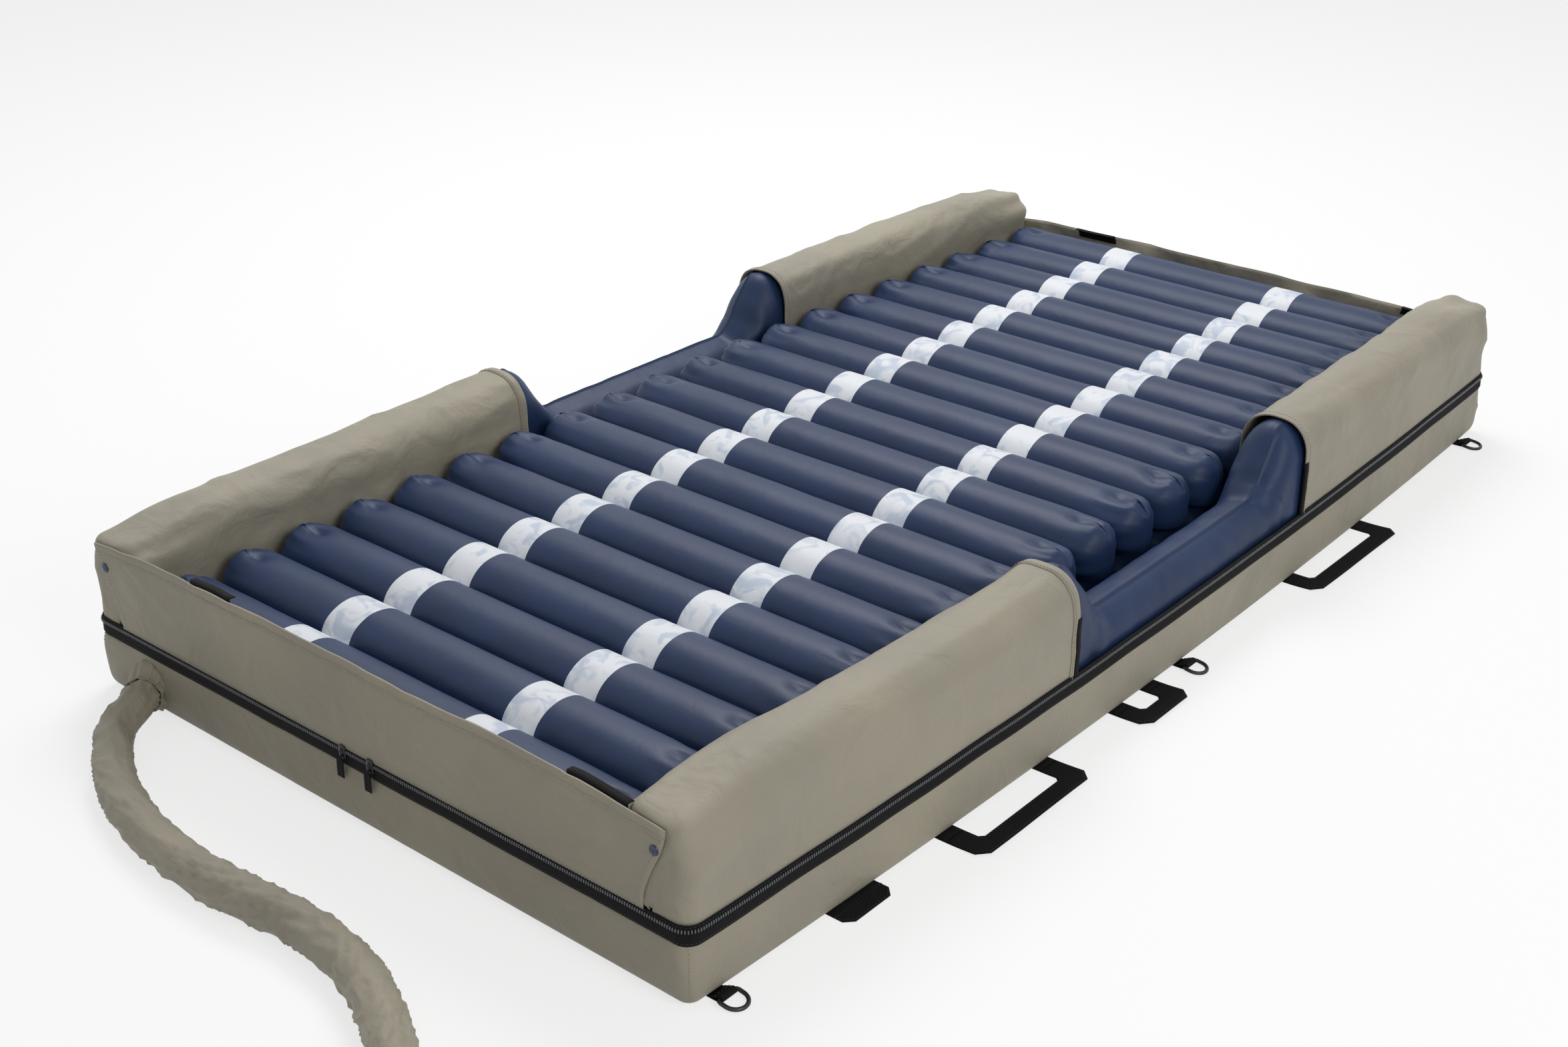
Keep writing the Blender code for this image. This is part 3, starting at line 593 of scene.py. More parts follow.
def base_cover():
    plan = outline(0.011)
    rows = []
    for inset in (0.30, 0.12, 0.05):
        rows.append([p - away * inset * 0.9 + Vector((0, 0, 0.0003)) for p, away in plan])
    arc = 6
    for k in range(arc + 1):
        a = math.radians(90 * k / arc)
        inset = EDGE_R * (1 - math.sin(a))
        rows.append([wall_point(p, away, inset, EDGE_R * (1 - math.cos(a)) + 0.0003)
                     for p, away in plan])
    wall_steps = 9
    for k in range(1, wall_steps + 1):
        z = mix(EDGE_R, ZIP_LOW + 0.003, k / wall_steps)
        rows.append([wall_point(p, away, 0.0, z) for p, away in plan])
    return cloth("lower_cover", rows, CLOTH, "nylon", ring=True, floor=True, slot="grey_nylon",
                 replaces=("base_cover",))


def corner_piping():
    """Upright seams at the four corners of the lower cover."""
    lines = []
    for end in (-1, 1):
        for side in (-1, 1):
            y = end * (HALF_LENGTH - CORNER_R)
            away = Vector((side, end, 0)).normalized()
            centre = Vector((side * (half_width(y) - CORNER_R), y, 0))
            lines.append([wall_point(centre + away * CORNER_R, away, -0.0006, z)
                          for z in (0.012, 0.03, 0.05, 0.07, 0.084)])
    return stitches("corner_seams", lines)


# ---- sleeves --------------------------------------------------------------------------------
ARCH_UP = 0.20          # share of the arch that is the upright outer side
ARCH_DOWN = 0.82        # share where the inner side starts


def arch_at(u, off, crest):
    """Inset from the wall, height and outward direction at a share of the sleeve's section."""
    if u < ARCH_UP:
        return off, mix(ZIP_TOP - 0.002, SLEEVE_SPRING, u / ARCH_UP), -1.0, 0.0
    if u > ARCH_DOWN:
        t = (u - ARCH_DOWN) / (1 - ARCH_DOWN)
        return SLEEVE_WIDTH - off, mix(SLEEVE_SPRING, SLEEVE_HEM, t), 1.0, 0.0
    a = math.pi * (u - ARCH_UP) / (ARCH_DOWN - ARCH_UP)
    c, s = math.cos(a), math.sin(a)
    middle = SLEEVE_WIDTH / 2
    boxy = 0.80
    inset = middle - (middle - off) * math.copysign(abs(c) ** boxy, c)
    return inset, SLEEVE_SPRING + (crest - SLEEVE_SPRING) * abs(s) ** boxy, -c, s


def sleeve_point(side, end, y, off, u, lift=0.0):
    crest = SLEEVE_CREST - 0.002 - CORNER_DROP * ease((y - 0.86) / 0.13) - off * 0.4
    crest -= 0.004 * math.sin(math.pi * min(1.0, (y - SLEEVE_MOUTH) / 0.5)) * (end < 0)
    inset, z, out_x, out_z = arch_at(u, off, crest)
    x = half_width(end * y) - inset
    seed = 11.0 + 7 * side + 3 * end
    # Long shallow pulls run towards the corner, where the cloth is gathered.
    pull = noise.noise(Vector((u * 13 + y * 2.5, y * 3.0, seed)))
    gather = 0.0026 * ease((y - 0.80) / 0.18) * math.sin(31 * u + 9 * y)
    push = folds((x, end * y, z), seed) + 0.0022 * pull + gather
    slack = 1.0 if u < ARCH_DOWN else 1.3
    push = min(0.006, max(-0.0024, push * slack)) * mix(0.35, 1.0, ease((y - SLEEVE_MOUTH) / 0.06))
    push *= ease(u / 0.10)
    push += lift
    return Vector((side * (x - out_x * push), end * y, z + out_z * push))


def sleeve_stations():
    corner = HALF_LENGTH - CORNER_R
    straight = 72
    made = [(mix(SLEEVE_MOUTH, corner, i / straight), 0.0) for i in range(straight)]
    steps = 7
    for k in range(steps + 1):
        a = math.radians(90 * k / steps)
        made.append((corner + CORNER_R * math.sin(a), CORNER_R * (1 - math.cos(a))))
    return made


def bolster_sleeve(side, end):
    label = f"{'right' if side > 0 else 'left'}_{'head' if end > 0 else 'foot'}"
    columns = 46
    shares = [k / columns for k in range(columns + 1)]
    rows = [[sleeve_point(side, end, y, off, u) for u in shares] for y, off in sleeve_stations()]
    # The closed end is gathered towards the middle of its lower edge.
    foot = Vector((side * (half_width(end) - SLEEVE_WIDTH / 2), end * HALF_LENGTH, ZIP_TOP))
    edge = rows[-1]
    cap_steps = 9
    for k in range(1, cap_steps + 1):
        t = 0.96 * k / cap_steps
        line = []
        for p in edge:
            q = p.lerp(Vector((mix(p.x, foot.x, 0.98), foot.y, ZIP_TOP)), t)
            q.y = end * (HALF_LENGTH + 0.0014 * noise.noise(Vector((q.x * 40, 2.0, q.z * 40))))
            line.append(q)
        rows.append(line)
    cloth(f"bolster_sleeve_{label}_cloth", rows, CLOTH, "nylon", slot="grey_nylon",
          replaces=(f"bolster_sleeve_{label}",))
    hem_width = 0.013
    hem = [[sleeve_point(side, end, SLEEVE_MOUTH + d, 0.0, u, lift)
            for u in shares] for d, lift in ((-0.0008, -0.0006), (-0.0010, 0.0012),
                                             (0.0040, 0.0016), (hem_width, 0.0014),
                                             (hem_width + 0.0004, 0.0))]
    cloth(f"sleeve_hem_{label}", hem, CLOTH * 0.7, "nylon", slot="grey_nylon")
    seams = [[sleeve_point(side, end, SLEEVE_MOUTH + 0.0095, 0.0, u, 0.0022) for u in shares]]
    seams.append([sleeve_point(side, end, mix(SLEEVE_MOUTH, HALF_LENGTH - CORNER_R, i / 60), 0.0,
                               0.985, 0.0005) for i in range(61)])
    stitches(f"sleeve_stitching_{label}", seams)
    binding = [[sleeve_point(side, end, SLEEVE_MOUTH + d, 0.0, u * ARCH_UP, lift)
                for u in [k / 12 for k in range(13)]]
               for d, lift in ((-0.0030, -0.0016), (-0.0036, 0.0024), (0.0052, 0.0028),
                               (0.0056, 0.0))]
    cloth(f"mouth_binding_{label}", binding, CLOTH * 0.7, "webbing", slot="black_webbing")


# ---- end panels -----------------------------------------------------------------------------
def panel_half(end, z):
    """The panel runs over the sleeve's closed end to a slanting edge."""
    start = half_width(end) - 0.062
    return start + 0.036 * ease((z - 0.115) / 0.11)


def panel_point(end, u, z_share, top, proud=0.0):
    crown = top - 0.002 - 0.013 * abs(u) ** 5 + 0.0016 * noise.noise(Vector((u * 6, end, 1.5)))
    z = mix(ZIP_TOP - 0.002, crown, z_share)
    x = u * panel_half(end, z)
    bulge = 0.0040 * math.sin(math.pi * z_share) * (1 - u * u)
    crease = folds((x, end * HALF_LENGTH, z), 29.0 + end)
    slack = ease(z_share / 0.2) * mix(1.0, 0.35, ease((abs(u) - 0.85) / 0.12))
    y = HALF_LENGTH + 0.0022 + proud + max(-0.0006, bulge + 1.2 * crease) * slack
    return Vector((x, end * y, z))


def end_panel(name, end, top, node):
    columns, levels = 120, 14
    shares = [-1 + 2 * k / columns for k in range(columns + 1)]
    rows = [[panel_point(end, u, k / levels, top) for u in shares] for k in range(levels + 1)]
    cloth(name, rows, CLOTH, "nylon", outward=(0, end, 0), slot="grey_nylon", replaces=(node,))
    height = top - ZIP_TOP
    hem = [[panel_point(end, u, share, top, proud) for u in shares]
           for share, proud in ((1 - 0.014 / height, 0.0), (1 - 0.0135 / height, 0.0013),
                                (1.0, 0.0015), (1.0 + 0.0010 / height, -0.0004))]
    cloth(name + "_hem", hem, CLOTH * 0.7, "nylon", outward=(0, end, 0), slot="grey_nylon")
    line = [panel_point(end, u, 1 - 0.0115 / height, top, 0.0022) for u in shares]
    slants = [[panel_point(end, u, k / 20, top, 0.0008) for k in range(1, 20)]
              for u in (-0.988, 0.988)]
    stitches(name + "_stitching", [line] + slants)
    # Black tape is sewn inside the edge near each corner.
    for label, low, high in (("left", -0.299, -0.218), ("right", 0.360, 0.449)):
        half = panel_half(end, top)
        strip = []
        for up, inward in ((-0.012, 0.0028), (0.0020, 0.0030), (0.0036, 0.0050),
                           (0.0030, 0.0130)):
            strip.append([panel_point(end, mix(low, high, k / 10) / half, 1 + up / height, top,
                                      -inward) for k in range(11)])
        cloth(f"{name}_tape_{label}", strip, 0.0012, "webbing", outward=(0, -end, 1),
              slot="black_webbing")


# ---- air bolsters ---------------------------------------------------------------------------
# Inset from the wall and height, round the section from the lower outside corner.
BOLSTER_LOW = ((0.0052, 0.040), (0.0046, 0.085), (0.0052, 0.112), (0.0115, 0.133),
               (0.0235, 0.1475), (0.0385, 0.1535), (0.0560, 0.1500), (0.0740, 0.1440),
               (0.0880, 0.1310), (0.0965, 0.1100), (0.0985, 0.0700), (0.0960, 0.0250),
               (0.0840, 0.0075), (0.0500, 0.0062), (0.0190, 0.0090))
BOLSTER_HIGH = ((0.0052, 0.040), (0.0046, 0.095), (0.0050, 0.160), (0.0075, 0.198),
                (0.0190, 0.2270), (0.0400, 0.2430), (0.0590, 0.2435), (0.0780, 0.2310),
                (0.0920, 0.2080), (0.0975, 0.1750), (0.0985, 0.0900), (0.0960, 0.0250),
                (0.0840, 0.0075), (0.0500, 0.0062), (0.0190, 0.0090))
SEAM_AT = 5                 # which of those points the welded seam runs along


def bolster_section(side, y):
    low, high = BOLSTER_RISE
    r = ease((abs(y) - low) / (high - low))
    hidden = 0.004 * ease((abs(y) - 0.33) / 0.03)
    profile = []
    for a, b in zip(BOLSTER_LOW, BOLSTER_HIGH):
        inset, z = mix(a[0], b[0], r), mix(a[1], b[1], r)
        inset += hidden * (1 if inset < 0.05 else -1)
        if z > SLEEVE_SPRING:
            z -= hidden + CORNER_DROP * ease((abs(y) - 0.80) / 0.13)
        profile.append(Vector((inset, z, 0)))
    steps = 3
    profile = smooth_path(profile, steps, closed=True)
    seam = SEAM_AT * steps
    crumple = 0.0008 + 0.0042 * 4 * r * (1 - r)
    ring = []
    for k, (inset, z, _) in enumerate(profile):
        from_middle = Vector((inset - 0.052, z - 0.09))
        wave = noise.noise(Vector((y * 34, inset * 40, z * 26 + side)))
        wave -= 0.8 * (1 - abs(noise.noise(Vector((y * 15 + z * 9, z * 16, 3.0 + side))))) ** 6
        push = min(0.0012, crumple * wave) if z > 0.06 else 0.0
        shift = from_middle.normalized() * push
        ring.append((inset + shift[0], z + shift[1]))
        if k == seam:
            fin = mix(0.0034, 0.0002, ease((abs(y) - 0.285) / 0.012))
            width = 0.0009
            top = ring.pop()
            ring += [(top[0] - width, top[1]), (top[0] - width * 0.5, top[1] + fin),
                     (top[0] + width * 0.5, top[1] + fin), (top[0] + width, top[1])]
    lift = max(0.0, 0.018 - math.sqrt(max(0.0, 0.018 ** 2 - max(0.0, abs(y) - 0.975) ** 2)))
    return [Vector((side * (half_width(y) - inset), y, max(z, 0.006 + lift))) for inset, z in ring]


def side_bolster(side):
    label = "right" if side > 0 else "left"
    fine = [-0.34 + 0.68 * i / 136 for i in range(137)]
    coarse = [0.36 + (HALF_LENGTH - 0.008 - 0.36) * i / 22 for i in range(23)]
    stations = [-y for y in reversed(coarse)] + fine + coarse
    rings = [bolster_section(side, y) for y in stations]
    middle = [sum(ring, Vector()) / len(ring) for ring in rings]
    for i in (0, -1):
        rings[i] = [p.lerp(middle[i], 0.14) for p in rings[i]]
    made = lofted(f"side_bolster_{label}_film", rings, "bolster_film", slot="navy_tpu_film",
                  replaces=(f"side_bolster_{label}",))


# ---- air cells ------------------------------------------------------------------------------
PILLOW = 0.040          # length over which an end closes to its upright seam
LINE_NOTCH = 0.024
WAIST = math.radians(60)


def cell_section(x, reach, y_middle, index):
    d = reach - abs(x)
    s = min(1.0, d / PILLOW)
    full = max(0.035, math.sqrt(max(0.0, 1 - (1 - s) ** 2.1)))
    half = CELL_HALF_WIDTH * full
    seed = index * 3.7
    drop = 0.020 * (1 - min(1.0, d / 0.022)) ** 2
    drop += 0.0014 * (1 + noise.noise(Vector((x * 6, seed, 0.0))))
    top = CELL_TOP - 0.0006 - drop
    near = math.exp(-(max(0.0, d - 0.02) / 0.045) ** 2)
    ring = []
    steps = 37
    for k in range(steps + 1):
        a = mix(-WAIST, math.pi + WAIST, k / steps)
        c, s_a = math.cos(a), math.sin(a)
        # The upper half is round, and the lower half is pressed flat by the next cell.
        power = mix(1.0, 1.30, 1 - s) if s_a > 0 else 0.72
        y = half * math.copysign(abs(c) ** power, c)
        centre = 0.143
        z = centre + (top - centre if s_a > 0 else 0.043) * math.copysign(abs(s_a) ** 0.92, s_a)
        ring.append([y, z, a])
    for k in range(1, 16):
        a = mix(math.radians(116), math.radians(424), k / 16)
        c, s_a = math.cos(a), math.sin(a)
        y = half * 0.98 * math.copysign(abs(c) ** 0.5, c)
        z = 0.0515 + 0.0475 * math.copysign(abs(s_a) ** 0.5, s_a) * mix(0.86, 1.0, s)
        ring.append([y, z, a + 20])
    made = []
    for y, z, a in ring:
        crease = 0.0
        if z > 0.06:
            u = noise.noise(Vector((x * 16, a * 2.6, seed)))
            # Pleats run inwards from the seam, and the deepest one crosses the crown.
            v = (1 - abs(noise.noise(Vector((x * 3, a * 3.4, seed + 9))))) ** 8
            lean = abs(a - math.pi / 2 - 0.10 * math.sin(seed * 5)) / (0.10 + 1.5 * d)
            crown = math.exp(-((d - 0.048) / 0.017) ** 2) * math.exp(-lean ** 2)
            crease = near * (0.0022 * u - 0.0050 * v) + 0.0005 * u - 0.0085 * crown
        push = 1 + min(0.0006, crease) / 0.045
        shift = 0.0
        if x < 0:
            shift = LINE_NOTCH * ease((0.070 - z) / 0.020) * ease(1 - d / 0.075)
        made.append(Vector((x + shift, y_middle + y * push, 0.143 + (z - 0.143) * push
                            if z > 0.06 else max(TRAY_FLOOR, z))))
    return made


def air_cell(index):
    name = f"air_cell_{index + 1:02d}"
    low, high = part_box(name)
    y_middle = (low[1] + high[1]) / 2
    reach = high[0] - 0.001
    ends = [0.0, 0.0012, 0.003] + [0.005 + 0.0032 * k for k in range(34)]
    inner = reach - ends[-1]
    straight = [inner * (1 - k / 17) for k in range(1, 18)]
    half = [reach - d for d in ends] + straight
    stations = [-x for x in half[:-1]] + [0.0] + half[:-1][::-1]
    rings = [cell_section(x, reach, y_middle, index) for x in stations]
    made = lofted(name + "_film", rings, "cell_film", slot="navy_tpu_film", replaces=(name,))


def end_seams():
    """Flat welded fins that stand out of the upright seam at each end of each cell."""
    bm = bmesh.new()
    for index in range(CELL_COUNT):
        low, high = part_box(f"air_cell_{index + 1:02d}")
        y = (low[1] + high[1]) / 2
        for side in (-1, 1):
            rings = []
            for k in range(17):
                a = math.radians(mix(-62, 90, k / 16))
                inward = 0.0012 + 0.026 * (1 - math.cos(max(0.0, a)))
                x = high[0] - inward
                z = 0.152 + (0.0330 if a > 0 else 0.048) * math.sin(a)
                wave = 0.0009 * noise.noise(Vector((z * 90, index, side)))
                fin = 0.0032
                rings.append([Vector((side * (x + dx), y + wave + dy, z))
                              for dx, dy in ((-fin, -0.0006), (fin * 0.3, -0.0005),
                                             (fin * 0.3, 0.0005), (-fin, 0.0006))])
            body_of_rings(bm, rings)
    bmesh.ops.recalc_face_normals(bm, faces=bm.faces)
    new_piece("cell_end_seams", bm, "bolster_film", slot="navy_tpu_film")


# ---- zip ------------------------------------------------------------------------------------
def tape_wave(p):
    return 0.0011 * noise.noise(Vector((p.x * 9, p.y * 9, 4.0)))


def zip_tape():
    plan = outline(0.011)
    rows = []
    for z, proud in ((ZIP_LOW - 0.001, 0.0010), (ZIP_LOW + 0.004, 0.0026), (0.094, 0.0026),
                     (0.1000, 0.0022), (0.1065, 0.0022), (ZIP_TOP + 0.0005, 0.0014)):
        sway = 1.6 if z < 0.09 else 1.0
        rows.append([p + away * proud + Vector((0, 0, z + sway * tape_wave(p)))
                     for p, away in plan])
    cloth("zip_tape", rows, 0.0012, "zip_tape", ring=True, slot="black_webbing",
          replaces=("zipper_tape",))
    for name, z in (("lower", ZIP_LOW + 0.0035), ("upper", ZIP_TOP - 0.0015)):
        line = [p + away * (0.0027 if name == "lower" else 0.0020)
                + Vector((0, 0, z + tape_wave(p))) for p, away in plan]
        stitches(f"zip_stitching_{name}", [line], "black_thread", closed=True)


def zip_coil():
    line = [p + away * 0.0030 + Vector((0, 0, 0.1040 + tape_wave(p)))
            for p, away in outline(0.006)]
    pitch = settings().tooth
    beads("zip_coil", [line], pitch, (pitch * 0.62, 0.0030, 0.0056), "coil",
          closed=True)


def box_rings(sections):
    """Rounded rectangles: each section is y, middle x, half width, low z, high z, rounding."""
    rings = []
    for y, x, half, low, high, rounding in sections:
        ring = []
        for cx, cz, start in ((x + half - rounding, high - rounding, 0),
                              (x - half + rounding, high - rounding, 90),
                              (x - half + rounding, low + rounding, 180),
                              (x + half - rounding, low + rounding, 270)):
            for k in range(4):
                a = math.radians(start + 30 * k)
                ring.append(Vector((cx + rounding * math.cos(a), y, cz + rounding * math.sin(a))))
        rings.append(ring)
    return rings


def zip_slider(side):
    node = f"zip_slider_{side}"
    low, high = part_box(node)
    x = (low[0] + high[0]) / 2
    back, front = high[1], low[1]
    bm = bmesh.new()
    plate = 0.0022
    body_of_rings(bm, box_rings([
        (back, x, 0.0052, low[2] + 0.001, high[2] - 0.001, 0.0025),
        (back - 0.0006, x, 0.0059, low[2], high[2], 0.0034),
        (back - plate, x, 0.0059, low[2], high[2], 0.0034),
        (back - plate - 0.0006, x, 0.0052, low[2] + 0.001, high[2] - 0.001, 0.0025)]))
    # The bridge that holds the pull stands on the front plate.
    mid = (low[2] + high[2]) / 2
    path = smooth_path([(x, back - plate, mid + 0.0065), (x, front + 0.0010, mid + 0.0050),
                        (x, front + 0.0007, mid), (x, front + 0.0010, mid - 0.0045),
                        (x, back - plate, mid - 0.0060)], 5)
    body_of_rings(bm, tube_rings(path, 0.00105, 8))
    bmesh.ops.recalc_face_normals(bm, faces=bm.faces)
    new_piece(node + "_body", bm, "acetal", node, "black_plastic", (node,))


def zip_pull(side):
    node = f"zip_pull_tab_{side}"
    low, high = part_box(node)
    x = (low[0] + high[0]) / 2
    y = (low[1] + high[1]) / 2
    levels = 14
    rows = []
    for k in range(levels + 1):
        t = k / levels
        z = mix(high[2], low[2], t)
        half = mix(0.0036, 0.0058, ease(t / 0.2))
        bow = -0.0005 * math.sin(math.pi * t) - 0.0006
        rows.append([(x + half * u + 0.0004 * math.sin(5 * t), y + bow, z)
                     for u in (-1, -0.5, 0, 0.5, 1)])
    cloth(node + "_web", rows, 0.0013, "webbing", outward=(0, -1, 0), body=node,
          slot="black_webbing", replaces=(node,))
    lines = [[(x + u * 0.0042, y - 0.0012, mix(high[2] - 0.006, low[2] + 0.002, k / 4))
              for k in range(5)] for u in (-1, 1)]
    stitches(node + "_stitching", lines, "black_thread", node)


# ---- webbing --------------------------------------------------------------------------------
def handle_chains(near, far, half, legs):
    """Outer and inner edge of a strap folded square at its corners."""
    chamfer = min(0.014, (far - near) / 2)
    outer = [(near, -half), (far - chamfer, -half), (far, -half + chamfer),
             (far, half - chamfer), (far - chamfer, half), (near, half)]
    if legs == 1:
        step = half / 2
        inner = [(near, -half + 0.0004), (near, -step), (near + 0.0004, -step / 2),
                 (near + 0.0004, step / 2), (near, step), (near, half - 0.0004)]
        return outer, inner
    inner_x = max(near + 0.012, far - WEB_WIDTH * 0.8)
    inner = [(near, -half + WEB_WIDTH), (inner_x - 0.006, -half + WEB_WIDTH),
             (inner_x, -half + WEB_WIDTH + 0.006), (inner_x, half - WEB_WIDTH - 0.006),
             (inner_x - 0.006, half - WEB_WIDTH), (near, half - WEB_WIDTH)]
    return outer, inner


def handle(node, side):
    low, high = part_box(node)
    near, far = (low[0], high[0]) if side > 0 else (-high[0], -low[0])
    middle, half = (low[1] + high[1]) / 2, (high[1] - low[1]) / 2
    legs = 1 if half < 0.05 else 2
    outer, inner = handle_chains(near, far, half, legs)
    steps = (4, 3, 16, 3, 4)
    rows = []
    seed = len(node) + side
    for a, b, c, d, count in zip(outer, outer[1:], inner, inner[1:], steps):
        for k in range(count):
            rows.append((Vector(a).lerp(Vector(b), k / count), Vector(c).lerp(Vector(d), k / count)))
    rows.append((Vector(outer[-1]), Vector(inner[-1])))
    made = []
    for edge, core in rows:
        line = []
        for k in range(6):
            x, y = edge.lerp(core, k / 5)
            out = (x - near) / (far - near)
            lift = 0.0030 * out ** 1.5 * (1 if legs == 2 else 0.3)
            lift *= 0.8 + 0.3 * noise.noise(Vector((y * 9, seed, 0.0)))
            tilt = 0.0010 * out ** 2 * (1 - k / 5) * (legs == 2)
            line.append(Vector((side * x, middle + y, low[2] + WEB_THICK + lift + tilt)))
        made.append(line)
    cloth(node + "_strap", made, WEB_THICK, "webbing", outward=(0, 0, 1), body=node,
          slot="black_webbing", replaces=(node,))
    seams = [[line[0].lerp(line[-1], share) + Vector((0, 0, 0.0001)) for line in made]
             for share in (0.10, 0.90)]
    stitches(node + "_stitching", seams, "black_thread", node)
    return near, middle, half, legs


def handle_tails(side):
    """Sewn ends of the carry loops, reaching under the cover's rounded edge."""
    label = "right" if side > 0 else "left"
    for kind, place in (("strap_loop", "foot"), ("carry_handle", "foot"),
                        ("strap_loop", "middle"), ("carry_handle", "head")):
        node = f"{kind}_{label}_{place}"
        near, middle, half, legs = handle(node, side)
        spans = [(-half, half)] if legs == 1 else [(-half, -half + WEB_WIDTH),
                                                   (half - WEB_WIDTH, half)]
        for number, (a, b) in enumerate(spans):
            rows = []
            for k in range(7):
                x = near - 0.0004 - 0.017 * k / 6
                rows.append([(side * x, middle + mix(a, b, j / 4), 0.0020) for j in range(5)])
            cloth(f"{node}_tail_{number + 1}", rows, WEB_THICK, "webbing", outward=(0, 0, 1),
                  slot="black_webbing")


def d_ring(side, place):
    label = "right" if side > 0 else "left"
    node = f"d_ring_{label}_{place}"
    low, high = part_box(node)
    wire = 0.0026
    bar_x = (low[0] if side > 0 else high[0]) + side * wire
    bar_z = high[2] - wire
    middle = (low[1] + high[1]) / 2
    leg, half = 0.0110, 0.0150
    tilt = math.asin((bar_z - wire - 0.0006) / (leg + half))
    flat = [(0.0, -half + 0.003), (0.0, 0.0), (0.0, half - 0.003), (0.0012, half - 0.0008),
            (0.0040, half)]
    for k in range(17):
        a = math.pi * (0.5 - k / 16)
        flat.append((leg + half * math.cos(a), half * math.sin(a)))
    flat += [(0.0040, -half), (0.0012, -half + 0.0008)]
    path = [Vector((bar_x + side * x * math.cos(tilt), middle + y, bar_z - x * math.sin(tilt)))
            for x, y in flat]
    rings = tube_rings(path, wire, 12, closed=True)
    bm = bmesh.new()
    verts = [[bm.verts.new(p) for p in ring] for ring in rings]
    for i, ring in enumerate(verts):
        after = verts[(i + 1) % len(verts)]
        for k in range(12):
            bm.faces.new((ring[k], ring[(k + 1) % 12], after[(k + 1) % 12], after[k]))
    bmesh.ops.recalc_face_normals(bm, faces=bm.faces)
    new_piece(node + "_moulding", bm, "acetal", node, "black_plastic", (node,))

    tab = f"d_ring_tab_{label}_{place}"
    tail = half_width(middle) - 0.010
    loop = 0.0043
    section = [(side * tail, 0.0016), (bar_x - side * 0.012, 0.0016)]
    for k in range(15):
        a = math.radians(-90 + 200 * k / 14)
        section.append((bar_x + side * loop * math.cos(a), bar_z + loop * math.sin(a)))
    section.append((bar_x - side * 0.0080, 0.0068))
    section.append((side * (tail + 0.006), 0.0040))
    rows = [[(x, middle + 0.012 * u, z) for x, z in section] for u in (-1, -0.5, 0, 0.5, 1)]
    cloth(tab + "_strap", rows, 0.0011, "webbing", slot="black_webbing", replaces=(tab,))
    stitches(tab + "_stitching", [[(bar_x - side * 0.0072, middle + 0.011 * u, 0.0078)
                                   for u in (-1, 1)]], "black_thread")


# ---- press studs and air line ---------------------------------------------------------------
def press_stud(side):
    label = "right" if side > 0 else "left"
    low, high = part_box(f"press_stud_{label}")
    centre = Vector(((low[0] + high[0]) / 2, high[1], (low[2] + high[2]) / 2))
    # radius and height of the turned cap, from its rim to its middle
    profile = ((0.0062, 0.0), (0.0064, 0.0008), (0.0058, 0.0016), (0.0049, 0.0012),
               (0.0043, 0.0021), (0.0028, 0.0029), (0.0010, 0.0032))
    rings = []
    for radius, out in profile:
        rings.append([centre + Vector((radius * math.cos(math.tau * k / 24), -out - 0.0026,
                                       radius * math.sin(math.tau * k / 24)))
                      for k in range(24)])
    back = [p + Vector((0, 0.0026, 0)) for p in rings[0]]
    lofted(f"press_stud_{label}_cap", [back] + rings, "stud", slot="dark_stud",
           replaces=(f"press_stud_{label}",))


# ---- hose -----------------------------------------------------------------------------------
CUFF_LENGTH = 0.024
PORT = Vector((-0.4245, -1.0003, 0.040))
HOSE_TURN = math.radians(33)
# The same route as the free hose's own solid: along X, out from the wall, height.
HOSE_ROUTE = (
    (0.0465, 0.087, 0.0300), (0.0905, 0.121, 0.0255), (0.1345, 0.148, 0.0243),
    (0.1845, 0.168, 0.0243), (0.2565, 0.187, 0.0243), (0.3405, 0.198, 0.0243),
    (0.4155, 0.197, 0.0243), (0.4805, 0.190, 0.0243), (0.5425, 0.184, 0.0243),
    (0.6065, 0.188, 0.0243), (0.6645, 0.201, 0.0243), (0.7205, 0.223, 0.0243),
    (0.7735, 0.252, 0.0243), (0.8225, 0.286, 0.0243), (0.8665, 0.326, 0.0243),
    (0.9045, 0.371, 0.0243),
)


def hose_direction():
    return Vector((math.sin(HOSE_TURN), -math.cos(HOSE_TURN), 0.0))


def hose_cuff():
    sides, levels = 72, 12
    rows = []
    for i in range(levels + 1):
        t = i / levels
        out = Vector((0, -1, 0)).lerp(hose_direction(), ease(t)).normalized()
        centre = PORT + hose_direction() * (CUFF_LENGTH + 0.004) * t
        across = Vector((out.y, -out.x, 0)).normalized()
        radius = mix(0.036, 0.0232, ease(t * 1.15)) + 0.0035 * ease((t - 0.82) / 0.18)
        pleat = 0.0030 * math.sin(math.pi * min(1.0, t * 1.1)) + 0.0012
        row = []
        for k in range(sides):
            a = math.tau * k / sides
            lobes = math.sin(11 * a + 1.3 * math.sin(3 * a)) + 0.4 * math.sin(23 * a + 2)
            r = radius + pleat * lobes * 0.6
            p = centre + across * (r * math.cos(a)) + Vector((0, 0, r * math.sin(a)))
            p.z = max(0.003, p.z)
            row.append(p)
        rows.append(row)
    return cloth("gathered_hose_cuff", rows, 0.0016, "nylon", ring=True, slot="grey_nylon",
                 replaces=("hose_cuff",))


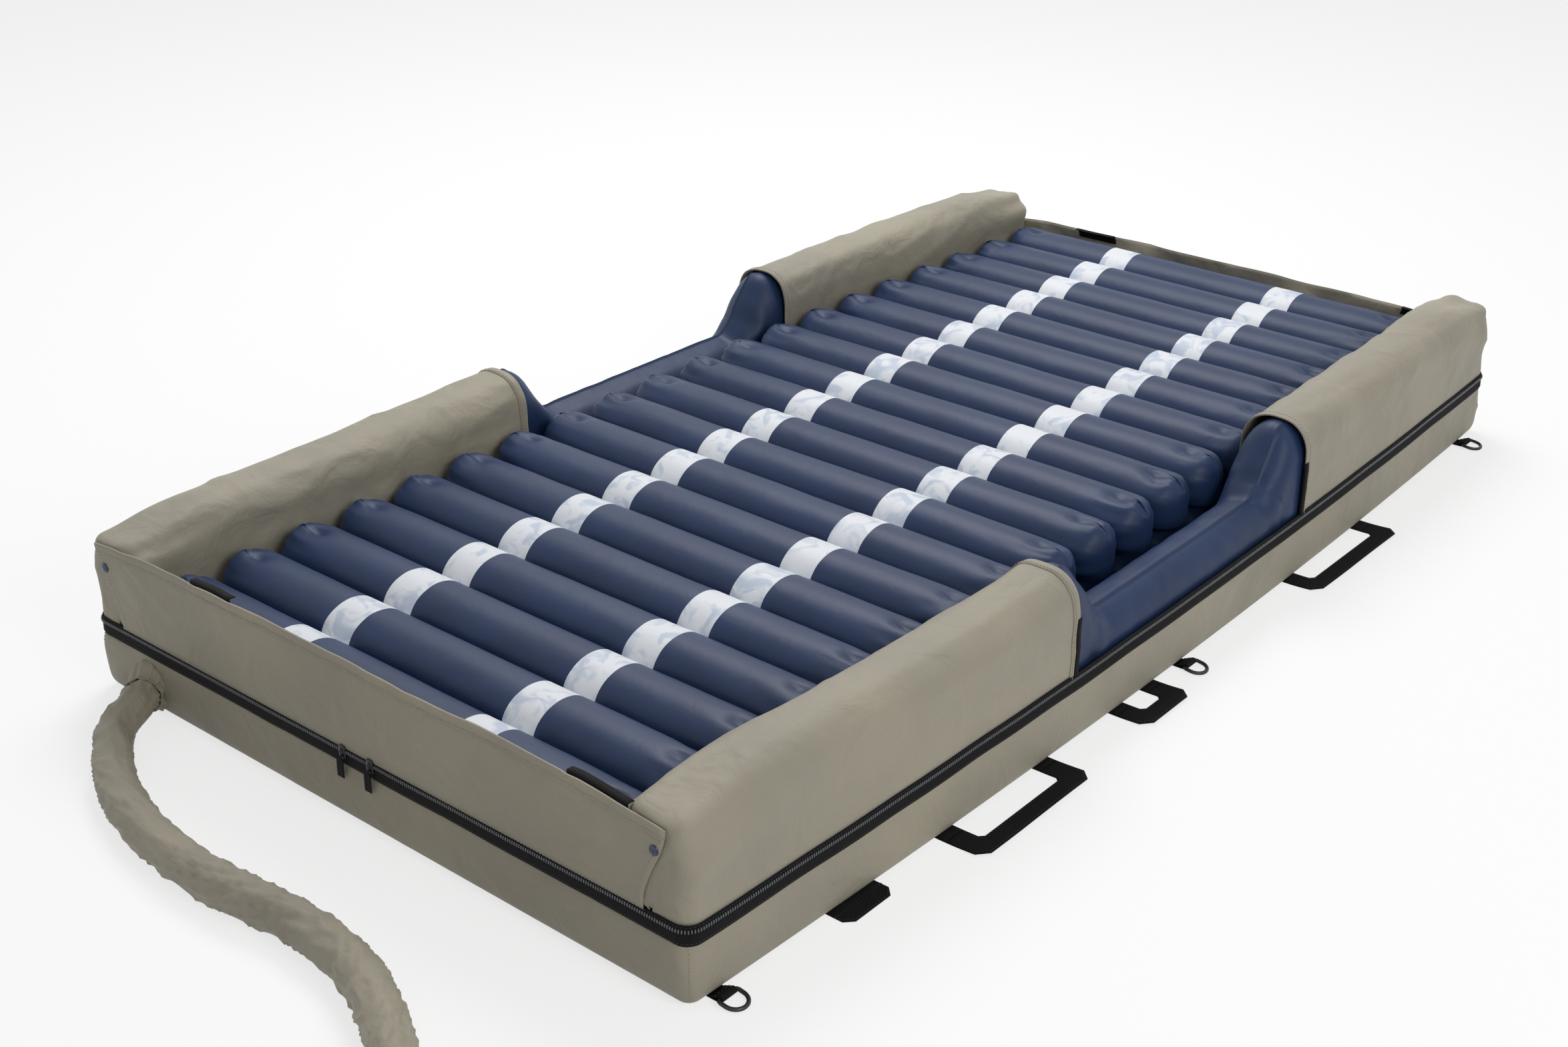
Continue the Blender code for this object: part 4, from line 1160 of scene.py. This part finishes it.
def hose():
    start = PORT + hose_direction() * CUFF_LENGTH + hose_direction() * 0.0003
    route = [PORT.xy.to_3d() + Vector((dx, -dy, z)) for dx, dy, z in HOSE_ROUTE]
    first = start + hose_direction() * 0.020
    path = smooth_path([start, first] + route, 14)
    sides = 40

    def radius(share, a):
        spread = mix(0.0216, 0.0258, ease(share * 3))
        s = share * 1.02
        lean = 0.9 * math.sin(3.1 * s * 6)
        band = noise.noise(Vector((s * 46 + lean * math.cos(a), 1.6 * math.cos(a),
                                   1.6 * math.sin(a))))
        ridge = (1 - abs(noise.noise(Vector((s * 30 + 2.2 * math.sin(a + 5 * s),
                                             1.1 * math.cos(a), 7 + 1.1 * math.sin(a)))))) ** 5
        slow = noise.noise(Vector((s * 9, math.cos(a), math.sin(a) + 3)))
        return spread + 0.0018 * band + 0.0044 * (ridge - 0.40) + 0.0018 * slow

    rings = tube_rings(path, radius, sides)
    for ring in rings:
        for p in ring:
            p.z = max(0.0006, p.z)
    for i in (0, -1):
        middle = path[i]
        rings[i] = [p.lerp(middle, 0.06) for p in rings[i]]
    made = lofted("hose_sleeve_cloth", rings, "nylon", slot="grey_nylon",
                  replaces=("hose_sleeve",))
    length = sum((b - a).length for a, b in zip(path, path[1:]))
    return made, path, length


def hose_connector(path):
    """Twin quick coupling: a ribbed grip with two short sockets."""
    end = path[-1]
    along = (end - path[-3]).xy.to_3d().normalized()
    across = Vector((-along.y, along.x, 0))
    bm = bmesh.new()
    # distance along, half width, half height
    steps = [(0.0003, 0.0200, 0.0170), (0.002, 0.0225, 0.0195), (0.014, 0.0228, 0.0198),
             (0.016, 0.0255, 0.0212)]
    for k in range(7):
        at = 0.019 + 0.0045 * k
        steps += [(at, 0.0275, 0.0220), (at + 0.0016, 0.0275, 0.0220),
                  (at + 0.0022, 0.0262, 0.0212), (at + 0.0038, 0.0262, 0.0212)]
    steps += [(0.0525, 0.0260, 0.0200), (0.0545, 0.0225, 0.0160), (0.0560, 0.0215, 0.0130)]
    rings = []
    for reach, half, tall in steps:
        ring = []
        for k in range(40):
            a = math.tau * k / 40
            c, s = math.cos(a), math.sin(a)
            ring.append(end + along * reach + across * (half * math.copysign(abs(c) ** 0.55, c))
                        + Vector((0, 0, tall * math.copysign(abs(s) ** 0.55, s))))
        rings.append(ring)
    body_of_rings(bm, rings)
    for shift in (-0.0115, 0.0115):
        socket = []
        for reach, r in ((0.050, 0.0074), (0.066, 0.0074), (0.0665, 0.0088), (0.0700, 0.0088),
                         (0.0720, 0.0076), (0.0720, 0.0052), (0.0600, 0.0050)):
            ring = []
            for k in range(20):
                a = math.tau * k / 20
                ring.append(end + along * reach + across * (shift + r * math.cos(a))
                            + Vector((0, 0, r * math.sin(a))))
            socket.append(ring)
        body_of_rings(bm, socket)
    bmesh.ops.recalc_face_normals(bm, faces=bm.faces)
    return new_piece("twin_hose_connector", bm, "acetal", slot="black_plastic",
                     replaces=("hose_connector",))


# ---- stage ----------------------------------------------------------------------------------
CAMERA_AT = (1.7388, -2.2761, 1.4381)
CAMERA_TURN = (63.8647, 0.0, 40.2206)
CAMERA_LENS = 48.13


def make_camera():
    data = bpy.data.cameras.new("camera")
    data.lens = CAMERA_LENS
    data.sensor_width = 36.0
    camera = bpy.data.objects.new("camera", data)
    camera.location = CAMERA_AT
    camera.rotation_euler = [math.radians(a) for a in CAMERA_TURN]
    bpy.context.scene.collection.objects.link(camera)
    bpy.context.scene.camera = camera


def seen_directly(tree):
    """1 for camera, glossy and transmission rays."""
    path = add(tree, "ShaderNodeLightPath")
    rays = path.outputs
    both = add(tree, "ShaderNodeMath", {0: rays["Is Camera Ray"], 1: rays["Is Glossy Ray"]},
               operation="MAXIMUM")
    return add(tree, "ShaderNodeMath", {0: both.outputs[0], 1: rays["Is Transmission Ray"]},
               operation="MAXIMUM").outputs[0]


def paper_floor():
    """Seamless white paper: it keeps the soft shadow under the mattress."""
    made, tree, shader = blank_material("seamless_paper", 0.9)
    shader.inputs["Base Color"].default_value = (0.90, 0.90, 0.90, 1.0)
    shader.inputs["Specular IOR Level"].default_value = 0.0
    glow = add(tree, "ShaderNodeEmission", {"Color": (1.0, 1.0, 1.0, 1.0), "Strength": 1.0})
    share = add(tree, "ShaderNodeMath", {0: seen_directly(tree), 1: 0.72}, operation="MULTIPLY")
    both = add(tree, "ShaderNodeMixShader", {0: share.outputs[0], 1: shader.outputs[0],
                                             2: glow.outputs[0]})
    tree.links.new(both.outputs[0], tree.nodes["Material Output"].inputs["Surface"])
    return made


def soft_light(name, at, aim, width, power):
    data = bpy.data.lights.new(name, "AREA")
    data.shape = "DISK"
    data.size = width
    data.energy = power
    lamp = bpy.data.objects.new(name, data)
    lamp.location = at
    lamp.rotation_euler = (Vector(at) - Vector(aim)).to_track_quat("Z", "Y").to_euler()
    bpy.context.scene.collection.objects.link(lamp)


def make_stage():
    scene = bpy.context.scene
    scene.view_settings.view_transform = "Standard"
    mesh = bpy.data.meshes.new("floor")
    half = 14.0
    mesh.from_pydata([(-half, -half, 0), (half, -half, 0), (half, half, 0), (-half, half, 0)], [],
                     [(0, 1, 2, 3)])
    mesh.materials.append(paper_floor())
    ground = bpy.data.objects.new("floor", mesh)
    scene.collection.objects.link(ground)
    world = bpy.data.worlds.new("studio")
    world.use_nodes = True
    tree = world.node_tree
    back = tree.nodes["Background"]
    back.inputs["Color"].default_value = (1.0, 1.0, 1.0, 1.0)
    strength = add(tree, "ShaderNodeMapRange", {"Value": seen_directly(tree), "To Min": 0.42,
                                                "To Max": 1.0})
    tree.links.new(strength.outputs["Result"], back.inputs["Strength"])
    scene.world = world
    soft_light("key", (-1.3, 1.3, 3.4), (0.0, 0.0, 0.1), 2.2, 96.0)
    soft_light("fill", (3.4, -1.2, 2.2), (0.3, 0.0, 0.1), 1.8, 46.0)


# ---- operators ------------------------------------------------------------------------------
class MATTRESS_OT_hose(bpy.types.Operator):
    """Free hose in its cloth sleeve, its gathered cuff and its connector"""
    bl_idname = "mattress.hose"
    bl_label = "Air Hose"

    def execute(self, context):
        sleeve, path, length = hose()
        cuff = hose_cuff()
        connector = hose_connector(path)
        return {"FINISHED"}


class MATTRESS_OT_cover(bpy.types.Operator):
    """Lower cover with its upright corner seams"""
    bl_idname = "mattress.cover"
    bl_label = "Lower Cover"

    def execute(self, context):
        base_cover()
        corner_piping()
        return {"FINISHED"}


class MATTRESS_OT_sleeves(bpy.types.Operator):
    """Four sleeves over the ends of the bolsters, with hems and bindings"""
    bl_idname = "mattress.sleeves"
    bl_label = "Bolster Sleeves"

    def execute(self, context):
        for side in (-1, 1):
            for end in (-1, 1):
                bolster_sleeve(side, end)
        return {"FINISHED"}


class MATTRESS_OT_end_panels(bpy.types.Operator):
    """Upper walls across the two ends"""
    bl_idname = "mattress.end_panels"
    bl_label = "End Panels"

    def execute(self, context):
        end_panel("foot_panel_cloth", -1, FOOT_TOP, "foot_end_panel")
        end_panel("head_panel_cloth", 1, HEAD_TOP, "head_end_panel")
        return {"FINISHED"}


class MATTRESS_OT_bolsters(bpy.types.Operator):
    """Two long air bolsters with their welded seams"""
    bl_idname = "mattress.bolsters"
    bl_label = "Side Bolsters"

    def execute(self, context):
        for side in (-1, 1):
            side_bolster(side)
        return {"FINISHED"}


class MATTRESS_OT_cells(bpy.types.Operator):
    """Twenty air cells with pillow ends and pale bands"""
    bl_idname = "mattress.cells"
    bl_label = "Air Cells"

    def execute(self, context):
        for index in range(CELL_COUNT):
            air_cell(index)
        end_seams()
        return {"FINISHED"}


class MATTRESS_OT_zip(bpy.types.Operator):
    """Zip tape, coil, sliders and pulls"""
    bl_idname = "mattress.zip"
    bl_label = "Zip"

    def execute(self, context):
        zip_tape()
        zip_coil()
        for side in ("left", "right"):
            zip_slider(side)
            zip_pull(side)
        return {"FINISHED"}


class MATTRESS_OT_webbing(bpy.types.Operator):
    """Carry loops, their sewn tails, and the D-rings in their tabs"""
    bl_idname = "mattress.webbing"
    bl_label = "Carry Loops and D-Rings"

    def execute(self, context):
        for side in (-1, 1):
            handle_tails(side)
            for place in ("foot", "middle", "head"):
                d_ring(side, place)
        return {"FINISHED"}


class MATTRESS_OT_fittings(bpy.types.Operator):
    """Press studs on the foot corners and the air line inside"""
    bl_idname = "mattress.fittings"
    bl_label = "Studs and Air Line"

    def execute(self, context):
        for side in (-1, 1):
            press_stud(side)
        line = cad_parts["twin_air_line"]
        line.data.materials.clear()
        line.data.materials.append(finish("pvc"))
        return {"FINISHED"}


class MATTRESS_OT_stage(bpy.types.Operator):
    """Camera, white paper floor and soft studio light"""
    bl_idname = "mattress.stage"
    bl_label = "Stage"

    def execute(self, context):
        make_camera()
        make_stage()
        return {"FINISHED"}


OPERATORS = (MATTRESS_OT_stage, MATTRESS_OT_hose, MATTRESS_OT_cover, MATTRESS_OT_sleeves,
             MATTRESS_OT_end_panels, MATTRESS_OT_bolsters, MATTRESS_OT_cells, MATTRESS_OT_zip,
             MATTRESS_OT_webbing, MATTRESS_OT_fittings)


class MATTRESS_PT_panel(bpy.types.Panel):
    """Lists the mattress's settings and pieces"""
    bl_idname = "MATTRESS_PT_panel"
    bl_label = "Pressure Relief Mattress"
    bl_space_type = "VIEW_3D"
    bl_region_type = "UI"
    bl_category = "Mattress"

    def draw(self, context):
        column = self.layout.column()
        for name in MattressSettings.__annotations__:
            column.prop(context.scene.mattress, name)
        for operator in OPERATORS:
            column.operator(operator.bl_idname)


def register():
    for made in (MattressSettings, *OPERATORS, MATTRESS_PT_panel):
        bpy.utils.register_class(made)
    bpy.types.Scene.mattress = PointerProperty(type=MattressSettings)


def unregister():
    del bpy.types.Scene.mattress
    for made in reversed((MattressSettings, *OPERATORS, MATTRESS_PT_panel)):
        bpy.utils.unregister_class(made)


def main():
    register()
    for operator in OPERATORS:
        group, name = operator.bl_idname.split(".")
        getattr(getattr(bpy.ops, group), name)()


if __name__ == "__main__":
    main()
